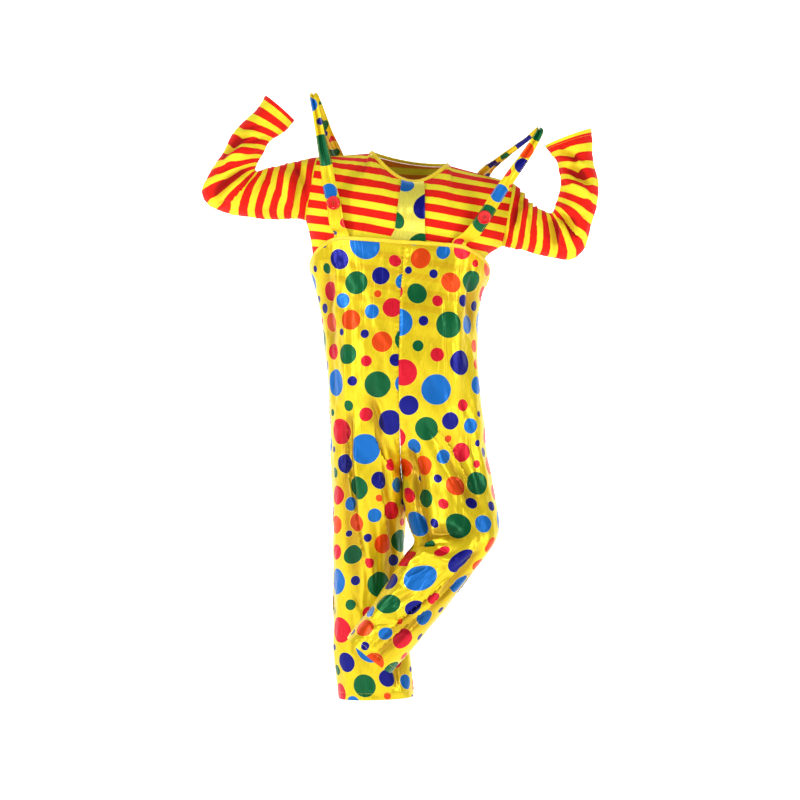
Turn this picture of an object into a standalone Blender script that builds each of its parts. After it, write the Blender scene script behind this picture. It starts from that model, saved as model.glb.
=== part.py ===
"""Clown costume: a striped shirt under dotted dungarees, worn and hollow, at their real size.

The origin lies between the two shoulders, where the neck rises from the shirt. +Z is up and the front
faces -Y, so the wearer's right side is at -X. Every size is in metres.
The wearer lifts both shoulder straps on raised hands, and crosses the left shin before the right leg.
"""

import math

import bmesh
import bpy
import numpy as np

# Cloth
CLOTH = 0.0018  # thickness of the shirt's jersey and the dungarees' satin
SEAM_GAP = 0.0005  # space between two pieces where they are sewn together
ROUNDNESS = 2.3  # 2 is an ellipse, more is squarer: the body of the dungarees and the shirt
STEP = 1e-3  # step in table rows and in ring share that is used to find a surface's slope

# Bindings, straps, placket and buttons
BINDING_WIDTH = 0.010
BINDING_THICKNESS = 0.0026
STRAP_THICKNESS = 0.0024
PLACKET_THICKNESS = 0.0014
BUTTON_RADIUS = 0.0165
BUTTON_THICKNESS = 0.0042
BUTTON_HOLE_RADIUS = 0.0014
BUTTON_HOLE_SPACING = 0.0046

# How finely the cloth is divided
LEG_COLUMNS = 11
LEG_ROWS = 33
SLEEVE_COLUMNS = 22
SLEEVE_ROWS = 27
SHOULDER_COLUMNS = 4
NECK_COLUMNS = 6
SHIRT_LOWER_ROWS = 7

RED = (0.85, 0.03, 0.02)
YELLOW = (0.95, 0.78, 0.04)
SATIN_YELLOW = (0.90, 0.72, 0.02)

# One half of the dungarees, from the chest down to the hem of its leg. Each row is a section of the cloth:
# its outer end and its inner end as seen from the front, the place of its middle, how far it reaches to the
# front and to the back of that, and whether it is open at the middle seam (0, the body) or a full ring (1, the leg).
LEG_TABLE = ("outer_x", "outer_z", "inner_x", "inner_z", "middle_y", "front", "back", "closed")
RIGHT_LEG = [
    (-0.245, -0.186, -0.015, -0.203, 0.000, 0.134, 0.128, 0.00),
    (-0.246, -0.265, -0.018, -0.272, 0.000, 0.137, 0.130, 0.00),
    (-0.230, -0.321, -0.023, -0.326, 0.000, 0.138, 0.128, 0.00),
    (-0.216, -0.392, -0.026, -0.394, 0.000, 0.138, 0.126, 0.00),
    (-0.208, -0.466, -0.027, -0.466, 0.000, 0.136, 0.127, 0.00),
    (-0.201, -0.541, -0.028, -0.541, 0.000, 0.132, 0.132, 0.00),
    (-0.197, -0.606, -0.027, -0.606, 0.002, 0.128, 0.134, 0.03),
    (-0.195, -0.657, -0.025, -0.659, 0.004, 0.124, 0.132, 0.12),
    (-0.194, -0.698, -0.024, -0.701, 0.006, 0.120, 0.128, 0.27),
    (-0.194, -0.730, -0.023, -0.733, 0.008, 0.117, 0.124, 0.46),
    (-0.193, -0.757, -0.022, -0.760, 0.010, 0.113, 0.120, 0.72),
    (-0.192, -0.785, -0.020, -0.787, 0.012, 0.109, 0.116, 0.90),
    (-0.190, -0.822, -0.017, -0.822, 0.015, 0.104, 0.110, 1.00),
    (-0.189, -0.870, -0.014, -0.870, 0.021, 0.099, 0.104, 1.00),
    (-0.189, -0.940, -0.015, -0.940, 0.031, 0.091, 0.096, 1.00),
    (-0.190, -1.020, -0.015, -1.020, 0.044, 0.084, 0.090, 1.00),
    (-0.190, -1.110, -0.011, -1.110, 0.053, 0.079, 0.086, 1.00),
    (-0.188, -1.200, -0.002, -1.200, 0.058, 0.078, 0.086, 1.00),
    (-0.182, -1.266, 0.005, -1.264, 0.060, 0.079, 0.087, 1.00),
    (-0.176, -1.324, 0.009, -1.319, 0.062, 0.081, 0.088, 1.00),
]
LEFT_LEG = [
    (0.191, -0.225, -0.015, -0.203, 0.000, 0.134, 0.128, 0.00),
    (0.196, -0.284, -0.018, -0.272, 0.000, 0.137, 0.130, 0.00),
    (0.175, -0.328, -0.023, -0.326, 0.000, 0.138, 0.128, 0.00),
    (0.165, -0.394, -0.026, -0.394, 0.000, 0.138, 0.126, 0.00),
    (0.164, -0.466, -0.027, -0.466, 0.000, 0.136, 0.127, 0.00),
    (0.168, -0.541, -0.028, -0.541, 0.000, 0.132, 0.132, 0.00),
    (0.176, -0.606, -0.027, -0.606, 0.002, 0.128, 0.134, 0.03),
    (0.182, -0.657, -0.025, -0.659, 0.003, 0.124, 0.131, 0.12),
    (0.186, -0.698, -0.024, -0.701, 0.003, 0.120, 0.127, 0.27),
    (0.190, -0.729, -0.023, -0.733, 0.002, 0.117, 0.123, 0.46),
    (0.195, -0.755, -0.021, -0.760, -0.002, 0.113, 0.118, 0.72),
    (0.201, -0.782, -0.018, -0.787, -0.010, 0.108, 0.112, 0.90),
    (0.207, -0.818, -0.014, -0.823, -0.027, 0.103, 0.106, 1.00),
    (0.213, -0.856, -0.008, -0.861, -0.048, 0.098, 0.100, 1.00),
    (0.216, -0.890, 0.001, -0.897, -0.070, 0.094, 0.094, 1.00),
    (0.211, -0.920, 0.008, -0.922, -0.089, 0.090, 0.088, 1.00),
    (0.193, -0.950, 0.007, -0.939, -0.102, 0.086, 0.082, 1.00),
    (0.165, -0.986, -0.006, -0.955, -0.111, 0.082, 0.077, 1.00),
    (0.132, -1.029, -0.027, -0.982, -0.118, 0.078, 0.073, 1.00),
    (0.096, -1.073, -0.051, -1.021, -0.122, 0.075, 0.070, 1.00),
    (0.061, -1.117, -0.075, -1.057, -0.123, 0.072, 0.068, 1.00),
    (0.026, -1.157, -0.098, -1.088, -0.124, 0.070, 0.066, 1.00),
    (-0.010, -1.200, -0.122, -1.118, -0.124, 0.067, 0.064, 1.00),
    (-0.046, -1.242, -0.151, -1.158, -0.123, 0.066, 0.062, 1.00),
]
CROTCH = 0.75  # the value of closed at the crotch, where the front and back first meet between the legs
CROTCH_START = 0.30  # the value of closed where the middle seam starts to turn in under the body
# The dungarees' upper edge: row of the table at the middle, at the corner and at the side, and how far round
# from the side the corner is, as a share of the quarter.
RIGHT_EDGE = {"middle": 0.17, "corner": 0.11, "side": 1.23, "share": 0.52}
LEFT_EDGE = {"middle": 0.17, "corner": 0.05, "side": 0.95, "share": 0.54}
EDGE_FADE = 2.9  # the first table row that no longer follows the upper edge
CORNER_ROUNDING = 0.07
LEG_QUARTER = 0.30  # about how far it is round one quarter, from the side seam to the middle

# A sleeve, from the armhole to the cuff. The outer end is the underarm, the elbow and the back of the forearm.
TUBE_TABLE = ("outer_x", "outer_z", "inner_x", "inner_z", "middle_y", "front", "back")
RIGHT_SLEEVE = [
    (-0.255, -0.149, -0.225, 0.007, 0.000, 0.066, 0.066),
    (-0.290, -0.146, -0.266, -0.003, -0.022, 0.066, 0.064),
    (-0.336, -0.148, -0.314, -0.019, -0.046, 0.063, 0.060),
    (-0.387, -0.146, -0.352, -0.029, -0.074, 0.060, 0.057),
    (-0.440, -0.138, -0.369, -0.037, -0.096, 0.059, 0.056),
    (-0.484, -0.120, -0.373, -0.034, -0.111, 0.060, 0.056),
    (-0.500, -0.088, -0.371, -0.027, -0.119, 0.061, 0.056),
    (-0.486, -0.052, -0.364, -0.014, -0.122, 0.060, 0.056),
    (-0.455, -0.002, -0.353, 0.007, -0.121, 0.058, 0.055),
    (-0.428, 0.046, -0.339, 0.030, -0.119, 0.055, 0.053),
    (-0.398, 0.080, -0.318, 0.047, -0.116, 0.052, 0.050),
    (-0.368, 0.114, -0.296, 0.064, -0.112, 0.050, 0.048),
    (-0.348, 0.144, -0.279, 0.085, -0.108, 0.051, 0.049),
]
LEFT_SLEEVE = [
    (0.225, -0.211, 0.252, -0.056, 0.000, 0.066, 0.066),
    (0.249, -0.216, 0.273, -0.082, -0.025, 0.066, 0.064),
    (0.279, -0.226, 0.296, -0.113, -0.055, 0.063, 0.060),
    (0.314, -0.238, 0.319, -0.130, -0.086, 0.060, 0.057),
    (0.351, -0.248, 0.334, -0.138, -0.110, 0.059, 0.056),
    (0.388, -0.249, 0.340, -0.138, -0.126, 0.060, 0.056),
    (0.415, -0.228, 0.344, -0.132, -0.135, 0.061, 0.056),
    (0.429, -0.188, 0.350, -0.119, -0.140, 0.060, 0.056),
    (0.442, -0.142, 0.356, -0.099, -0.140, 0.058, 0.055),
    (0.450, -0.095, 0.361, -0.071, -0.136, 0.056, 0.054),
    (0.447, -0.050, 0.359, -0.042, -0.130, 0.054, 0.052),
    (0.440, -0.005, 0.350, -0.012, -0.121, 0.053, 0.051),
    (0.437, 0.032, 0.337, 0.007, -0.115, 0.054, 0.052),
    (0.435, 0.064, 0.324, 0.023, -0.110, 0.057, 0.054),
]
# The shirt's body below the armholes, from the underarm down to its hidden hem.
SHIRT_BODY = [
    (-0.255, -0.149, 0.225, -0.211, 0.000, 0.117, 0.111),
    (-0.243, -0.192, 0.188, -0.234, 0.000, 0.116, 0.111),
    (-0.235, -0.245, 0.177, -0.264, 0.000, 0.116, 0.112),
    (-0.210, -0.335, 0.153, -0.340, 0.000, 0.119, 0.112),
    (-0.196, -0.430, 0.149, -0.432, 0.000, 0.118, 0.110),
    (-0.190, -0.530, 0.152, -0.530, 0.000, 0.115, 0.114),
    (-0.184, -0.620, 0.160, -0.620, 0.002, 0.111, 0.119),
]
NECK_SHARE = (1 / 3, 2 / 3)  # where the neckline starts and ends along the shirt's top edge
NECK_RIGHT = (-0.101, 0.010, 0.017)
NECK_LEFT = (0.099, 0.006, -0.014)
NECK_FRONT = {"depth": 0.078, "drop": 0.062, "pointed": 2.2}
NECK_BACK = {"depth": 0.058, "drop": 0.006, "pointed": 2.0}
SHOULDER_ROUNDING = 1.9  # the chest and back keep their depth, then turn in to the shoulder seam
ARMHOLE_REACH = 3.0  # how fast the armholes' roundness fades towards the middle of the chest

# The placket's two edges, as shares of the shirt's front, at the neck and at the underarm level.
PLACKET_TOP = (0.479, 0.5365)
PLACKET_LOW = (0.4716, 0.567)
PLACKET_END = 1.5  # table row of SHIRT_BODY, just inside the bib

# A strap's centre line between the bib and the back, with its width and the way that its width runs.
STRAP_TABLE = ("x", "y", "z", "width", "across_x", "across_y", "across_z")
RIGHT_STRAP = [
    (-0.176, -0.121, -0.165, 0.037, 0.95, -0.30, 0.00),
    (-0.184, -0.125, -0.115, 0.034, 0.99, -0.10, 0.00),
    (-0.194, -0.128, -0.072, 0.032, 1.00, -0.05, 0.00),
    (-0.202, -0.134, -0.020, 0.029, 1.00, 0.00, 0.00),
    (-0.213, -0.142, 0.038, 0.023, 1.00, 0.05, 0.00),
    (-0.225, -0.148, 0.100, 0.018, 1.00, 0.00, 0.05),
    (-0.232, -0.148, 0.134, 0.016, 1.00, 0.00, 0.05),
    (-0.230, -0.137, 0.144, 0.016, 1.00, 0.00, 0.00),
    (-0.224, -0.122, 0.131, 0.017, 1.00, 0.05, 0.00),
    (-0.213, -0.085, 0.096, 0.022, 1.00, 0.10, 0.00),
    (-0.201, -0.042, 0.060, 0.027, 1.00, 0.15, 0.00),
    (-0.188, 0.012, 0.032, 0.031, 1.00, 0.15, 0.05),
    (-0.174, 0.062, 0.001, 0.033, 0.98, 0.20, 0.00),
]
LEFT_STRAP = [
    (0.147, -0.120, -0.190, 0.037, 0.95, 0.30, 0.10),
    (0.177, -0.126, -0.150, 0.034, 0.99, 0.10, 0.20),
    (0.212, -0.131, -0.094, 0.030, 1.00, 0.05, 0.00),
    (0.250, -0.140, -0.040, 0.027, 1.00, 0.00, 0.00),
    (0.279, -0.150, 0.001, 0.024, 1.00, 0.00, 0.00),
    (0.297, -0.156, 0.030, 0.020, 1.00, 0.00, 0.00),
    (0.309, -0.157, 0.052, 0.017, 1.00, 0.05, 0.00),
    (0.309, -0.148, 0.061, 0.016, 1.00, 0.15, 0.00),
    (0.301, -0.137, 0.054, 0.016, 1.00, 0.20, 0.00),
    (0.284, -0.122, 0.040, 0.018, 1.00, 0.30, 0.00),
    (0.247, -0.087, 0.015, 0.023, 1.00, 0.40, 0.00),
    (0.214, -0.045, -0.007, 0.027, 1.00, 0.35, 0.00),
    (0.189, 0.012, -0.023, 0.032, 1.00, 0.20, -0.10),
    (0.173, 0.058, -0.047, 0.034, 0.98, -0.05, 0.00),
]
# Where the strap then lies on the shirt's back, as shares of its width and heights above the underarm.
RIGHT_STRAP_SEAT = ((0.232, 0.68), (0.262, 0.54), (0.291, 0.40), (0.318, 0.26), (0.342, 0.12))
LEFT_STRAP_SEAT = ((0.785, 0.70), (0.760, 0.56), (0.738, 0.41), (0.718, 0.26), (0.700, 0.12))
STRAP_TUCK = (-0.034, -0.014, 0.013)  # heights from the dungarees' edge of the rows where a strap lies inside it
# How far round a strap is sewn on at the front and at the back, by side.
STRAP_SHARES = {-1: (0.56, 0.74), 1: (0.56, 0.64)}
STRAP_ENDS = 0.040  # its width there
STRAP_ROOM = 0.0006  # extra room between a strap and the cloth that it lies on
STRAP_STEPS = 48
BUTTON_ROW = 1.0  # row of the strap's table where its button is sewn on

# The largest folds. face is -1 on the front and 1 on the back, the two ends are as seen from the front, bow is
# how far the line's middle lies to its left, and a negative height is a trough.
FOLD_TABLE = ("face", "start_x", "start_z", "end_x", "end_z", "bow", "half_width", "height")
RIGHT_LEG_FOLDS = [
    (-1, -0.186, -0.215, -0.182, -0.420, 0.004, 0.016, 0.008),
    (-1, -0.206, -0.250, -0.190, -0.460, 0.004, 0.015, -0.010),
    (-1, -0.156, -0.330, -0.154, -0.640, 0.000, 0.018, 0.008),
    (-1, -0.104, -0.520, -0.060, -0.740, 0.000, 0.018, -0.008),
    (-1, -0.158, -0.590, -0.118, -1.090, -0.012, 0.018, -0.012),
    (-1, -0.126, -0.610, -0.076, -1.130, -0.010, 0.020, 0.008),
    (-1, -0.062, -0.650, -0.034, -0.830, 0.000, 0.016, 0.007),
    (-1, -0.046, -0.860, -0.052, -1.120, 0.004, 0.018, -0.008),
    (-1, -0.030, -1.130, -0.026, -1.300, 0.000, 0.018, -0.008),
    (-1, -0.070, -1.140, -0.072, -1.310, 0.000, 0.018, 0.006),
    (1, -0.170, -0.330, -0.150, -0.640, 0.006, 0.020, -0.010),
    (1, -0.110, -0.300, -0.100, -0.700, 0.000, 0.022, 0.009),
    (1, -0.060, -0.660, -0.110, -0.800, 0.006, 0.018, -0.010),
    (1, -0.140, -0.760, -0.128, -1.180, -0.010, 0.020, -0.010),
    (1, -0.090, -0.820, -0.070, -1.240, 0.006, 0.022, 0.009),
    (1, -0.040, -0.900, -0.030, -1.290, 0.000, 0.018, -0.008),
]
LEFT_LEG_FOLDS = [
    (-1, 0.150, -0.285, 0.150, -0.440, 0.000, 0.014, -0.009),
    (-1, 0.105, -0.330, 0.110, -0.600, 0.004, 0.018, 0.008),
    (-1, 0.154, -0.420, 0.172, -0.700, 0.000, 0.018, 0.008),
    (-1, 0.002, -0.690, 0.034, -0.918, 0.006, 0.015, -0.012),
    (-1, 0.000, -0.640, 0.130, -0.830, 0.000, 0.018, 0.008),
    (-1, 0.060, -0.700, 0.170, -0.860, 0.006, 0.018, -0.007),
    (-1, 0.022, -0.922, 0.130, -0.912, 0.012, 0.016, -0.012),
    (-1, 0.014, -0.940, 0.110, -0.966, -0.010, 0.014, 0.010),
    (-1, 0.178, -0.930, 0.044, -1.080, 0.004, 0.013, -0.012),
    (-1, 0.150, -0.925, 0.010, -1.060, 0.000, 0.015, 0.009),
    (-1, 0.060, -1.090, -0.080, -1.180, -0.006, 0.014, -0.009),
    (-1, -0.020, -1.030, -0.100, -1.110, 0.000, 0.014, 0.008),
    (1, 0.140, -0.330, 0.130, -0.620, 0.000, 0.020, -0.010),
    (1, 0.070, -0.300, 0.060, -0.680, 0.006, 0.022, 0.009),
    (1, 0.020, -0.680, 0.080, -0.810, 0.006, 0.018, -0.010),
    (1, 0.150, -0.700, 0.180, -0.880, 0.000, 0.020, 0.008),
    (1, 0.040, -0.910, 0.180, -0.900, 0.010, 0.018, -0.010),
    (1, 0.150, -0.960, 0.000, -1.110, 0.004, 0.016, -0.010),
    (1, 0.080, -0.970, -0.080, -1.120, 0.000, 0.016, 0.009),
]
RIGHT_SLEEVE_FOLDS = [
    (-1, -0.380, -0.038, -0.470, -0.112, -0.008, 0.012, -0.012),
    (-1, -0.376, -0.068, -0.440, -0.124, -0.006, 0.012, 0.007),
    (-1, -0.378, 0.043, -0.454, -0.010, -0.008, 0.012, -0.010),
    (-1, -0.372, 0.020, -0.440, -0.030, -0.006, 0.013, 0.007),
    (-1, -0.284, -0.010, -0.242, -0.110, 0.010, 0.013, -0.009),
    (-1, -0.310, -0.030, -0.290, -0.130, 0.006, 0.014, 0.006),
    (1, -0.380, -0.040, -0.460, -0.100, -0.008, 0.014, -0.012),
    (1, -0.370, 0.010, -0.460, -0.040, -0.008, 0.014, -0.010),
    (1, -0.300, -0.010, -0.280, -0.120, 0.006, 0.014, -0.009),
]
LEFT_SLEEVE_FOLDS = [
    (-1, 0.344, -0.144, 0.400, -0.200, 0.006, 0.012, -0.012),
    (-1, 0.350, -0.128, 0.412, -0.150, 0.006, 0.012, 0.007),
    (-1, 0.332, -0.150, 0.342, -0.220, 0.004, 0.012, -0.010),
    (-1, 0.372, -0.030, 0.430, -0.078, 0.004, 0.012, -0.012),
    (-1, 0.368, -0.072, 0.434, -0.114, 0.004, 0.013, 0.008),
    (-1, 0.352, 0.004, 0.400, -0.018, 0.004, 0.011, -0.008),
    (-1, 0.272, -0.096, 0.250, -0.180, -0.008, 0.013, -0.009),
    (1, 0.350, -0.140, 0.410, -0.190, 0.006, 0.014, -0.012),
    (1, 0.364, -0.060, 0.440, -0.090, 0.004, 0.014, -0.010),
    (1, 0.280, -0.110, 0.270, -0.200, 0.004, 0.014, -0.009),
]


def material(name, color, roughness):
    """A cloth or plastic finish of one colour."""
    made = bpy.data.materials.new(name)
    made.use_nodes = True
    shader = made.node_tree.nodes["Principled BSDF"]
    shader.inputs["Base Color"].default_value = (*color, 1.0)
    shader.inputs["Roughness"].default_value = roughness
    shader.inputs["Metallic"].default_value = 0.0
    return made


def along(table, row):
    """The table's columns at a fractional row, on a smooth curve through its rows (a Catmull-Rom spline)."""
    values = np.asarray(table, float)
    values = np.concatenate([2 * values[:1] - values[1:2], values, 2 * values[-1:] - values[-2:-1]])
    place = np.clip(row, 0, len(table) - 1)
    start = np.minimum(place.astype(int), len(table) - 2)
    share = (place - start)[..., None]
    before, first, second, after = (values[start + k] for k in range(4))
    slope_in, slope_out = (second - before) / 2, (after - first) / 2
    return (
        first
        + share * slope_in
        + share**2 * (3 * (second - first) - 2 * slope_in - slope_out)
        + share**3 * (2 * (first - second) + slope_in + slope_out)
    )


def rounded(angle, squareness):
    """A point on the unit superellipse at an angle, as two arrays."""
    reach = (np.abs(np.cos(angle)) ** squareness + np.abs(np.sin(angle)) ** squareness) ** (-1 / squareness)
    return reach * np.cos(angle), reach * np.sin(angle)


def section_point(columns, share, squareness):
    """Points of the sections in columns. share is 0 at the outer end, 1 at the inner end by the front, and -1 by
    the back. An open section is a quarter round that ends at the middle seam, and a closed one a half round.
    Between them, the end at the middle seam is pinched back, so that the seam curves under to the crotch."""
    outer_x, outer_z, inner_x, inner_z, middle_y, front, back, closed = columns
    closed = np.clip(closed, 0, 1)
    pinch = np.clip((closed - CROTCH_START) / (CROTCH - CROTCH_START), 0, 1) ** 1.5
    turn = np.abs(share) * math.pi
    open_reach, open_depth = rounded(turn / 2, squareness)
    ring_reach, ring_depth = rounded(turn, squareness)
    reach = (1 - closed) * open_reach + closed * (1 + ring_reach) / 2
    depth = (1 - closed) * open_depth * (1 - pinch * np.abs(share) ** 9) + closed * ring_depth
    x = inner_x + (outer_x - inner_x) * reach
    y = middle_y + np.where(share >= 0, -front, back) * depth
    z = inner_z + (outer_z - inner_z) * reach
    return np.stack([x, y, z], -1)


def leg(table, share, row):
    """A point of one half of the dungarees."""
    share, row = np.broadcast_arrays(share, row)
    return section_point(np.moveaxis(along(table, row), -1, 0), share, ROUNDNESS)


def tube(table, share, row, squareness=2.0):
    """A point of a sleeve, or of the shirt's body, whose sections are all full rings."""
    share, row = np.broadcast_arrays(share, row)
    columns = np.moveaxis(along(table, row), -1, 0)
    return section_point([*columns, np.ones_like(columns[0])], share, squareness)


def neckline(share, shape):
    """A point of the neckline. share runs from the right neck point to the left one, and the curve dips by the
    sine of its angle, raised to a power that makes it more pointed."""
    right, left = np.array(NECK_RIGHT), np.array(NECK_LEFT)
    angle = math.pi * share
    point = right + (left - right) * ((1 - np.cos(angle)) / 2)[..., None]
    point[..., 1] += shape["depth"] * np.sin(angle)
    point[..., 2] -= shape["drop"] * np.sin(angle) ** shape["pointed"]
    return point


def shirt_top(face, share):
    """The shirt's top edge: the right shoulder seam, the neckline, and the left shoulder seam."""
    shape = dict(NECK_FRONT if face < 0 else NECK_BACK)
    shape["depth"] *= face
    right = tube(RIGHT_SLEEVE, 1.0, 0.0)
    left = tube(LEFT_SLEEVE, 1.0, 0.0)
    first, last = NECK_SHARE
    in_neck = np.clip((share - first) / (last - first), 0, 1)
    on_right = np.clip(share / first, 0, 1)[..., None]
    on_left = np.clip((share - last) / (1 - last), 0, 1)[..., None]
    point = neckline(in_neck, shape)
    point = np.where(share[..., None] < first, right + (np.array(NECK_RIGHT) - right) * on_right, point)
    return np.where(share[..., None] > last, np.array(NECK_LEFT) + (left - np.array(NECK_LEFT)) * on_left, point)


def shirt_upper(face, share, height):
    """A point of the shirt above the underarm. It runs from the underarm section up to the shoulder and neck edge,
    and near each side it also follows the armhole's curve. share is 0 at the right side, and height is 0 at the
    underarm and 1 at the top."""
    share, height = np.broadcast_arrays(share, height)
    low = tube(SHIRT_BODY, -face * share, 0.0, ROUNDNESS)
    top = shirt_top(face, share)
    right = tube(RIGHT_SLEEVE, -face * height, 0.0)
    left = tube(LEFT_SLEEVE, -face * height, 0.0)
    low_right, low_left = tube(RIGHT_SLEEVE, 0.0, 0.0), tube(LEFT_SLEEVE, 0.0, 0.0)
    top_right, top_left = tube(RIGHT_SLEEVE, 1.0, 0.0), tube(LEFT_SLEEVE, 1.0, 0.0)
    across = share[..., None]
    up = np.stack([height, height**SHOULDER_ROUNDING, height], -1)
    right_hollow = right - (1 - up) * low_right - up * top_right
    left_hollow = left - (1 - up) * low_left - up * top_left
    near_right = (1 - across) ** ARMHOLE_REACH
    near_left = across**ARMHOLE_REACH
    return (1 - up) * low + up * top + near_right * right_hollow + near_left * left_hollow


def shirt(face, share, row):
    """A point of the shirt's front (face -1) or back (face 1). Rows below 0 are above the underarm, down to -1
    at the shoulders, and rows from 0 on are those of SHIRT_BODY."""
    share, row = np.broadcast_arrays(share, row)
    upper = shirt_upper(face, share, np.clip(-row, 0, 1))
    lower = tube(SHIRT_BODY, -face * share, np.maximum(row, 0), ROUNDNESS)
    return np.where((row < 0)[..., None], upper, lower)


def unit(vector):
    """The vectors, each made one long."""
    return vector / np.linalg.norm(vector, axis=-1, keepdims=True)


def outward(surface, share, row, sign):
    """The surface's outward direction, from its slopes along both parameters."""
    across = surface(share + STEP, row) - surface(share - STEP, row)
    down = surface(share, row + STEP) - surface(share, row - STEP)
    return sign * unit(np.cross(across, down))


def folded(point, normal, folds):
    """The points moved along their normals by the folds: each is a soft ridge or trough along a bowed line in the
    front view, with a bell-shaped section, fading to nothing at its two ends and on the other face."""
    lift = np.zeros(point.shape[:-1])
    for face, start_x, start_z, end_x, end_z, bow, half_width, height in folds:
        start, end = np.array([start_x, start_z]), np.array([end_x, end_z])
        run = end - start
        left = np.array([-run[1], run[0]]) / np.linalg.norm(run)
        seen = point[..., [0, 2]]
        share = np.clip(((seen - start) @ run) / (run @ run), 0, 1)
        line = start + share[..., None] * run + (4 * bow * share * (1 - share))[..., None] * left
        distance = np.linalg.norm(seen - line, axis=-1) / half_width
        facing = np.clip(1.6 * face * normal[..., 1], 0, 1)
        lift += height * np.exp(-(distance**2)) * np.sin(math.pi * share) ** 0.7 * facing
    return point + normal * lift[..., None]


def mesh_object(name, points, faces, finish):
    """A named object with a closed mesh whose faces point out, shaded smooth but for its rims."""
    mesh = bpy.data.meshes.new(name)
    mesh.from_pydata([tuple(p) for p in points], [], [tuple(int(i) for i in f) for f in faces])
    work = bmesh.new()
    work.from_mesh(mesh)
    bmesh.ops.recalc_face_normals(work, faces=work.faces)
    work.to_mesh(mesh)
    work.free()
    mesh.shade_smooth()
    mesh.set_sharp_from_angle(angle=math.radians(50))
    mesh.materials.append(finish)
    made = bpy.data.objects.new(name, mesh)
    bpy.context.scene.collection.objects.link(made)
    return made


def grid_faces(index):
    """The four-sided faces of a grid of point numbers."""
    corners = (index[:-1, :-1], index[1:, :-1], index[1:, 1:], index[:-1, 1:])
    return np.stack(corners, -1).reshape(-1, 4)


def split(faces, points):
    """Two triangles for each four-sided face, cut along its shorter diagonal. points decides which that is."""
    first, second, third, fourth = (points[faces[:, k] % len(points)] for k in range(4))
    short = np.linalg.norm(first - third, axis=1) <= np.linalg.norm(second - fourth, axis=1)
    one_way = faces[:, [0, 1, 2, 0, 2, 3]]
    other_way = faces[:, [0, 1, 3, 1, 2, 3]]
    return np.where(short[:, None], one_way, other_way).reshape(-1, 3)


def wall(name, outer, inner, finish, ring=False):
    """A cloth wall between an outer and an inner grid of points, closed by its rims. A ring joins its first and
    last columns."""
    rows, columns = outer.shape[:2]
    index = np.arange(rows * columns).reshape(rows, columns)
    if ring:
        index = np.concatenate([index, index[:, :1]], 1)
    behind = index + rows * columns
    outside = outer.reshape(-1, 3)
    faces = [split(grid_faces(index), outside), split(grid_faces(behind), outside)]
    edges = [index[0], index[-1]] if ring else [index[0], index[-1], index[:, 0], index[:, -1]]
    points = np.concatenate([outside, inner.reshape(-1, 3)])
    faces += [split(grid_faces(np.stack([edge, edge + rows * columns])), points) for edge in edges]
    return mesh_object(name, points, np.concatenate(faces), finish)


def band(name, profile, finish, closed):
    """A long solid of one section: profile is the grid of the section's corners at each step along it."""
    steps, corners = profile.shape[:2]
    index = np.arange(steps * corners).reshape(steps, corners)
    index = np.concatenate([index, index[:, :1]], 1)
    if closed:
        index = np.concatenate([index, index[:1]], 0)
    faces = [tuple(f) for f in grid_faces(index)]
    if not closed:
        faces += [tuple(index[0, :-1]), tuple(index[-1, :-1])]
    return mesh_object(name, profile.reshape(-1, 3), faces, finish)


def edge_row(edge, share):
    """The table row of the dungarees' upper edge: level over the bib, then down to the side seam in a line whose
    corner is rounded."""
    beyond = edge["share"] - np.abs(share)
    ramp = (beyond + np.sqrt(beyond**2 + CORNER_ROUNDING**2)) / 2
    inward = np.clip(-beyond / (1 - edge["share"]), 0, 1)
    level = edge["corner"] + (edge["middle"] - edge["corner"]) * inward
    return level + ramp * (edge["side"] - edge["corner"]) / edge["share"]


def leg_grid(table, edge, half, side, folds):
    """Outer and inner points of a front (half 1) or back (half -1) panel of the dungarees."""
    gap = SEAM_GAP / LEG_QUARTER
    share = half * np.linspace(gap / 2, 1 - gap, LEG_COLUMNS)[None, :]
    base = np.linspace(edge["middle"], len(table) - 1, LEG_ROWS)[:, None]
    fade = np.clip((EDGE_FADE - base) / (EDGE_FADE - edge["middle"]), 0, 1)
    row = base + (edge_row(edge, share) - edge["middle"]) * fade
    normal = outward(lambda s, r: leg(table, s, r), share, row, side)
    middle = along(table, row)[..., 2]
    outer = folded(leg(table, share, row), normal, folds)
    inner = outer - normal * CLOTH
    open_here = along(table, row)[..., 7] < CROTCH + 0.2
    for points in (outer, inner):
        limit = middle + side * SEAM_GAP / 2
        kept = np.where(side > 0, np.maximum(points[..., 0], limit), np.minimum(points[..., 0], limit))
        points[..., 0] = np.where(open_here, kept, points[..., 0])
    return outer, inner


def make_dungarees(satin):
    """Front and back panels of both halves, each running from the chest to the hem."""
    halves = (
        ("right", RIGHT_LEG, RIGHT_EDGE, -1, RIGHT_LEG_FOLDS),
        ("left", LEFT_LEG, LEFT_EDGE, 1, LEFT_LEG_FOLDS),
    )
    for side_name, table, edge, side, folds in halves:
        for half_name, half in (("front", 1), ("back", -1)):
            outer, inner = leg_grid(table, edge, half, side, folds)
            wall(f"dungarees_{half_name}_{side_name}", outer, inner, satin)


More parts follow.
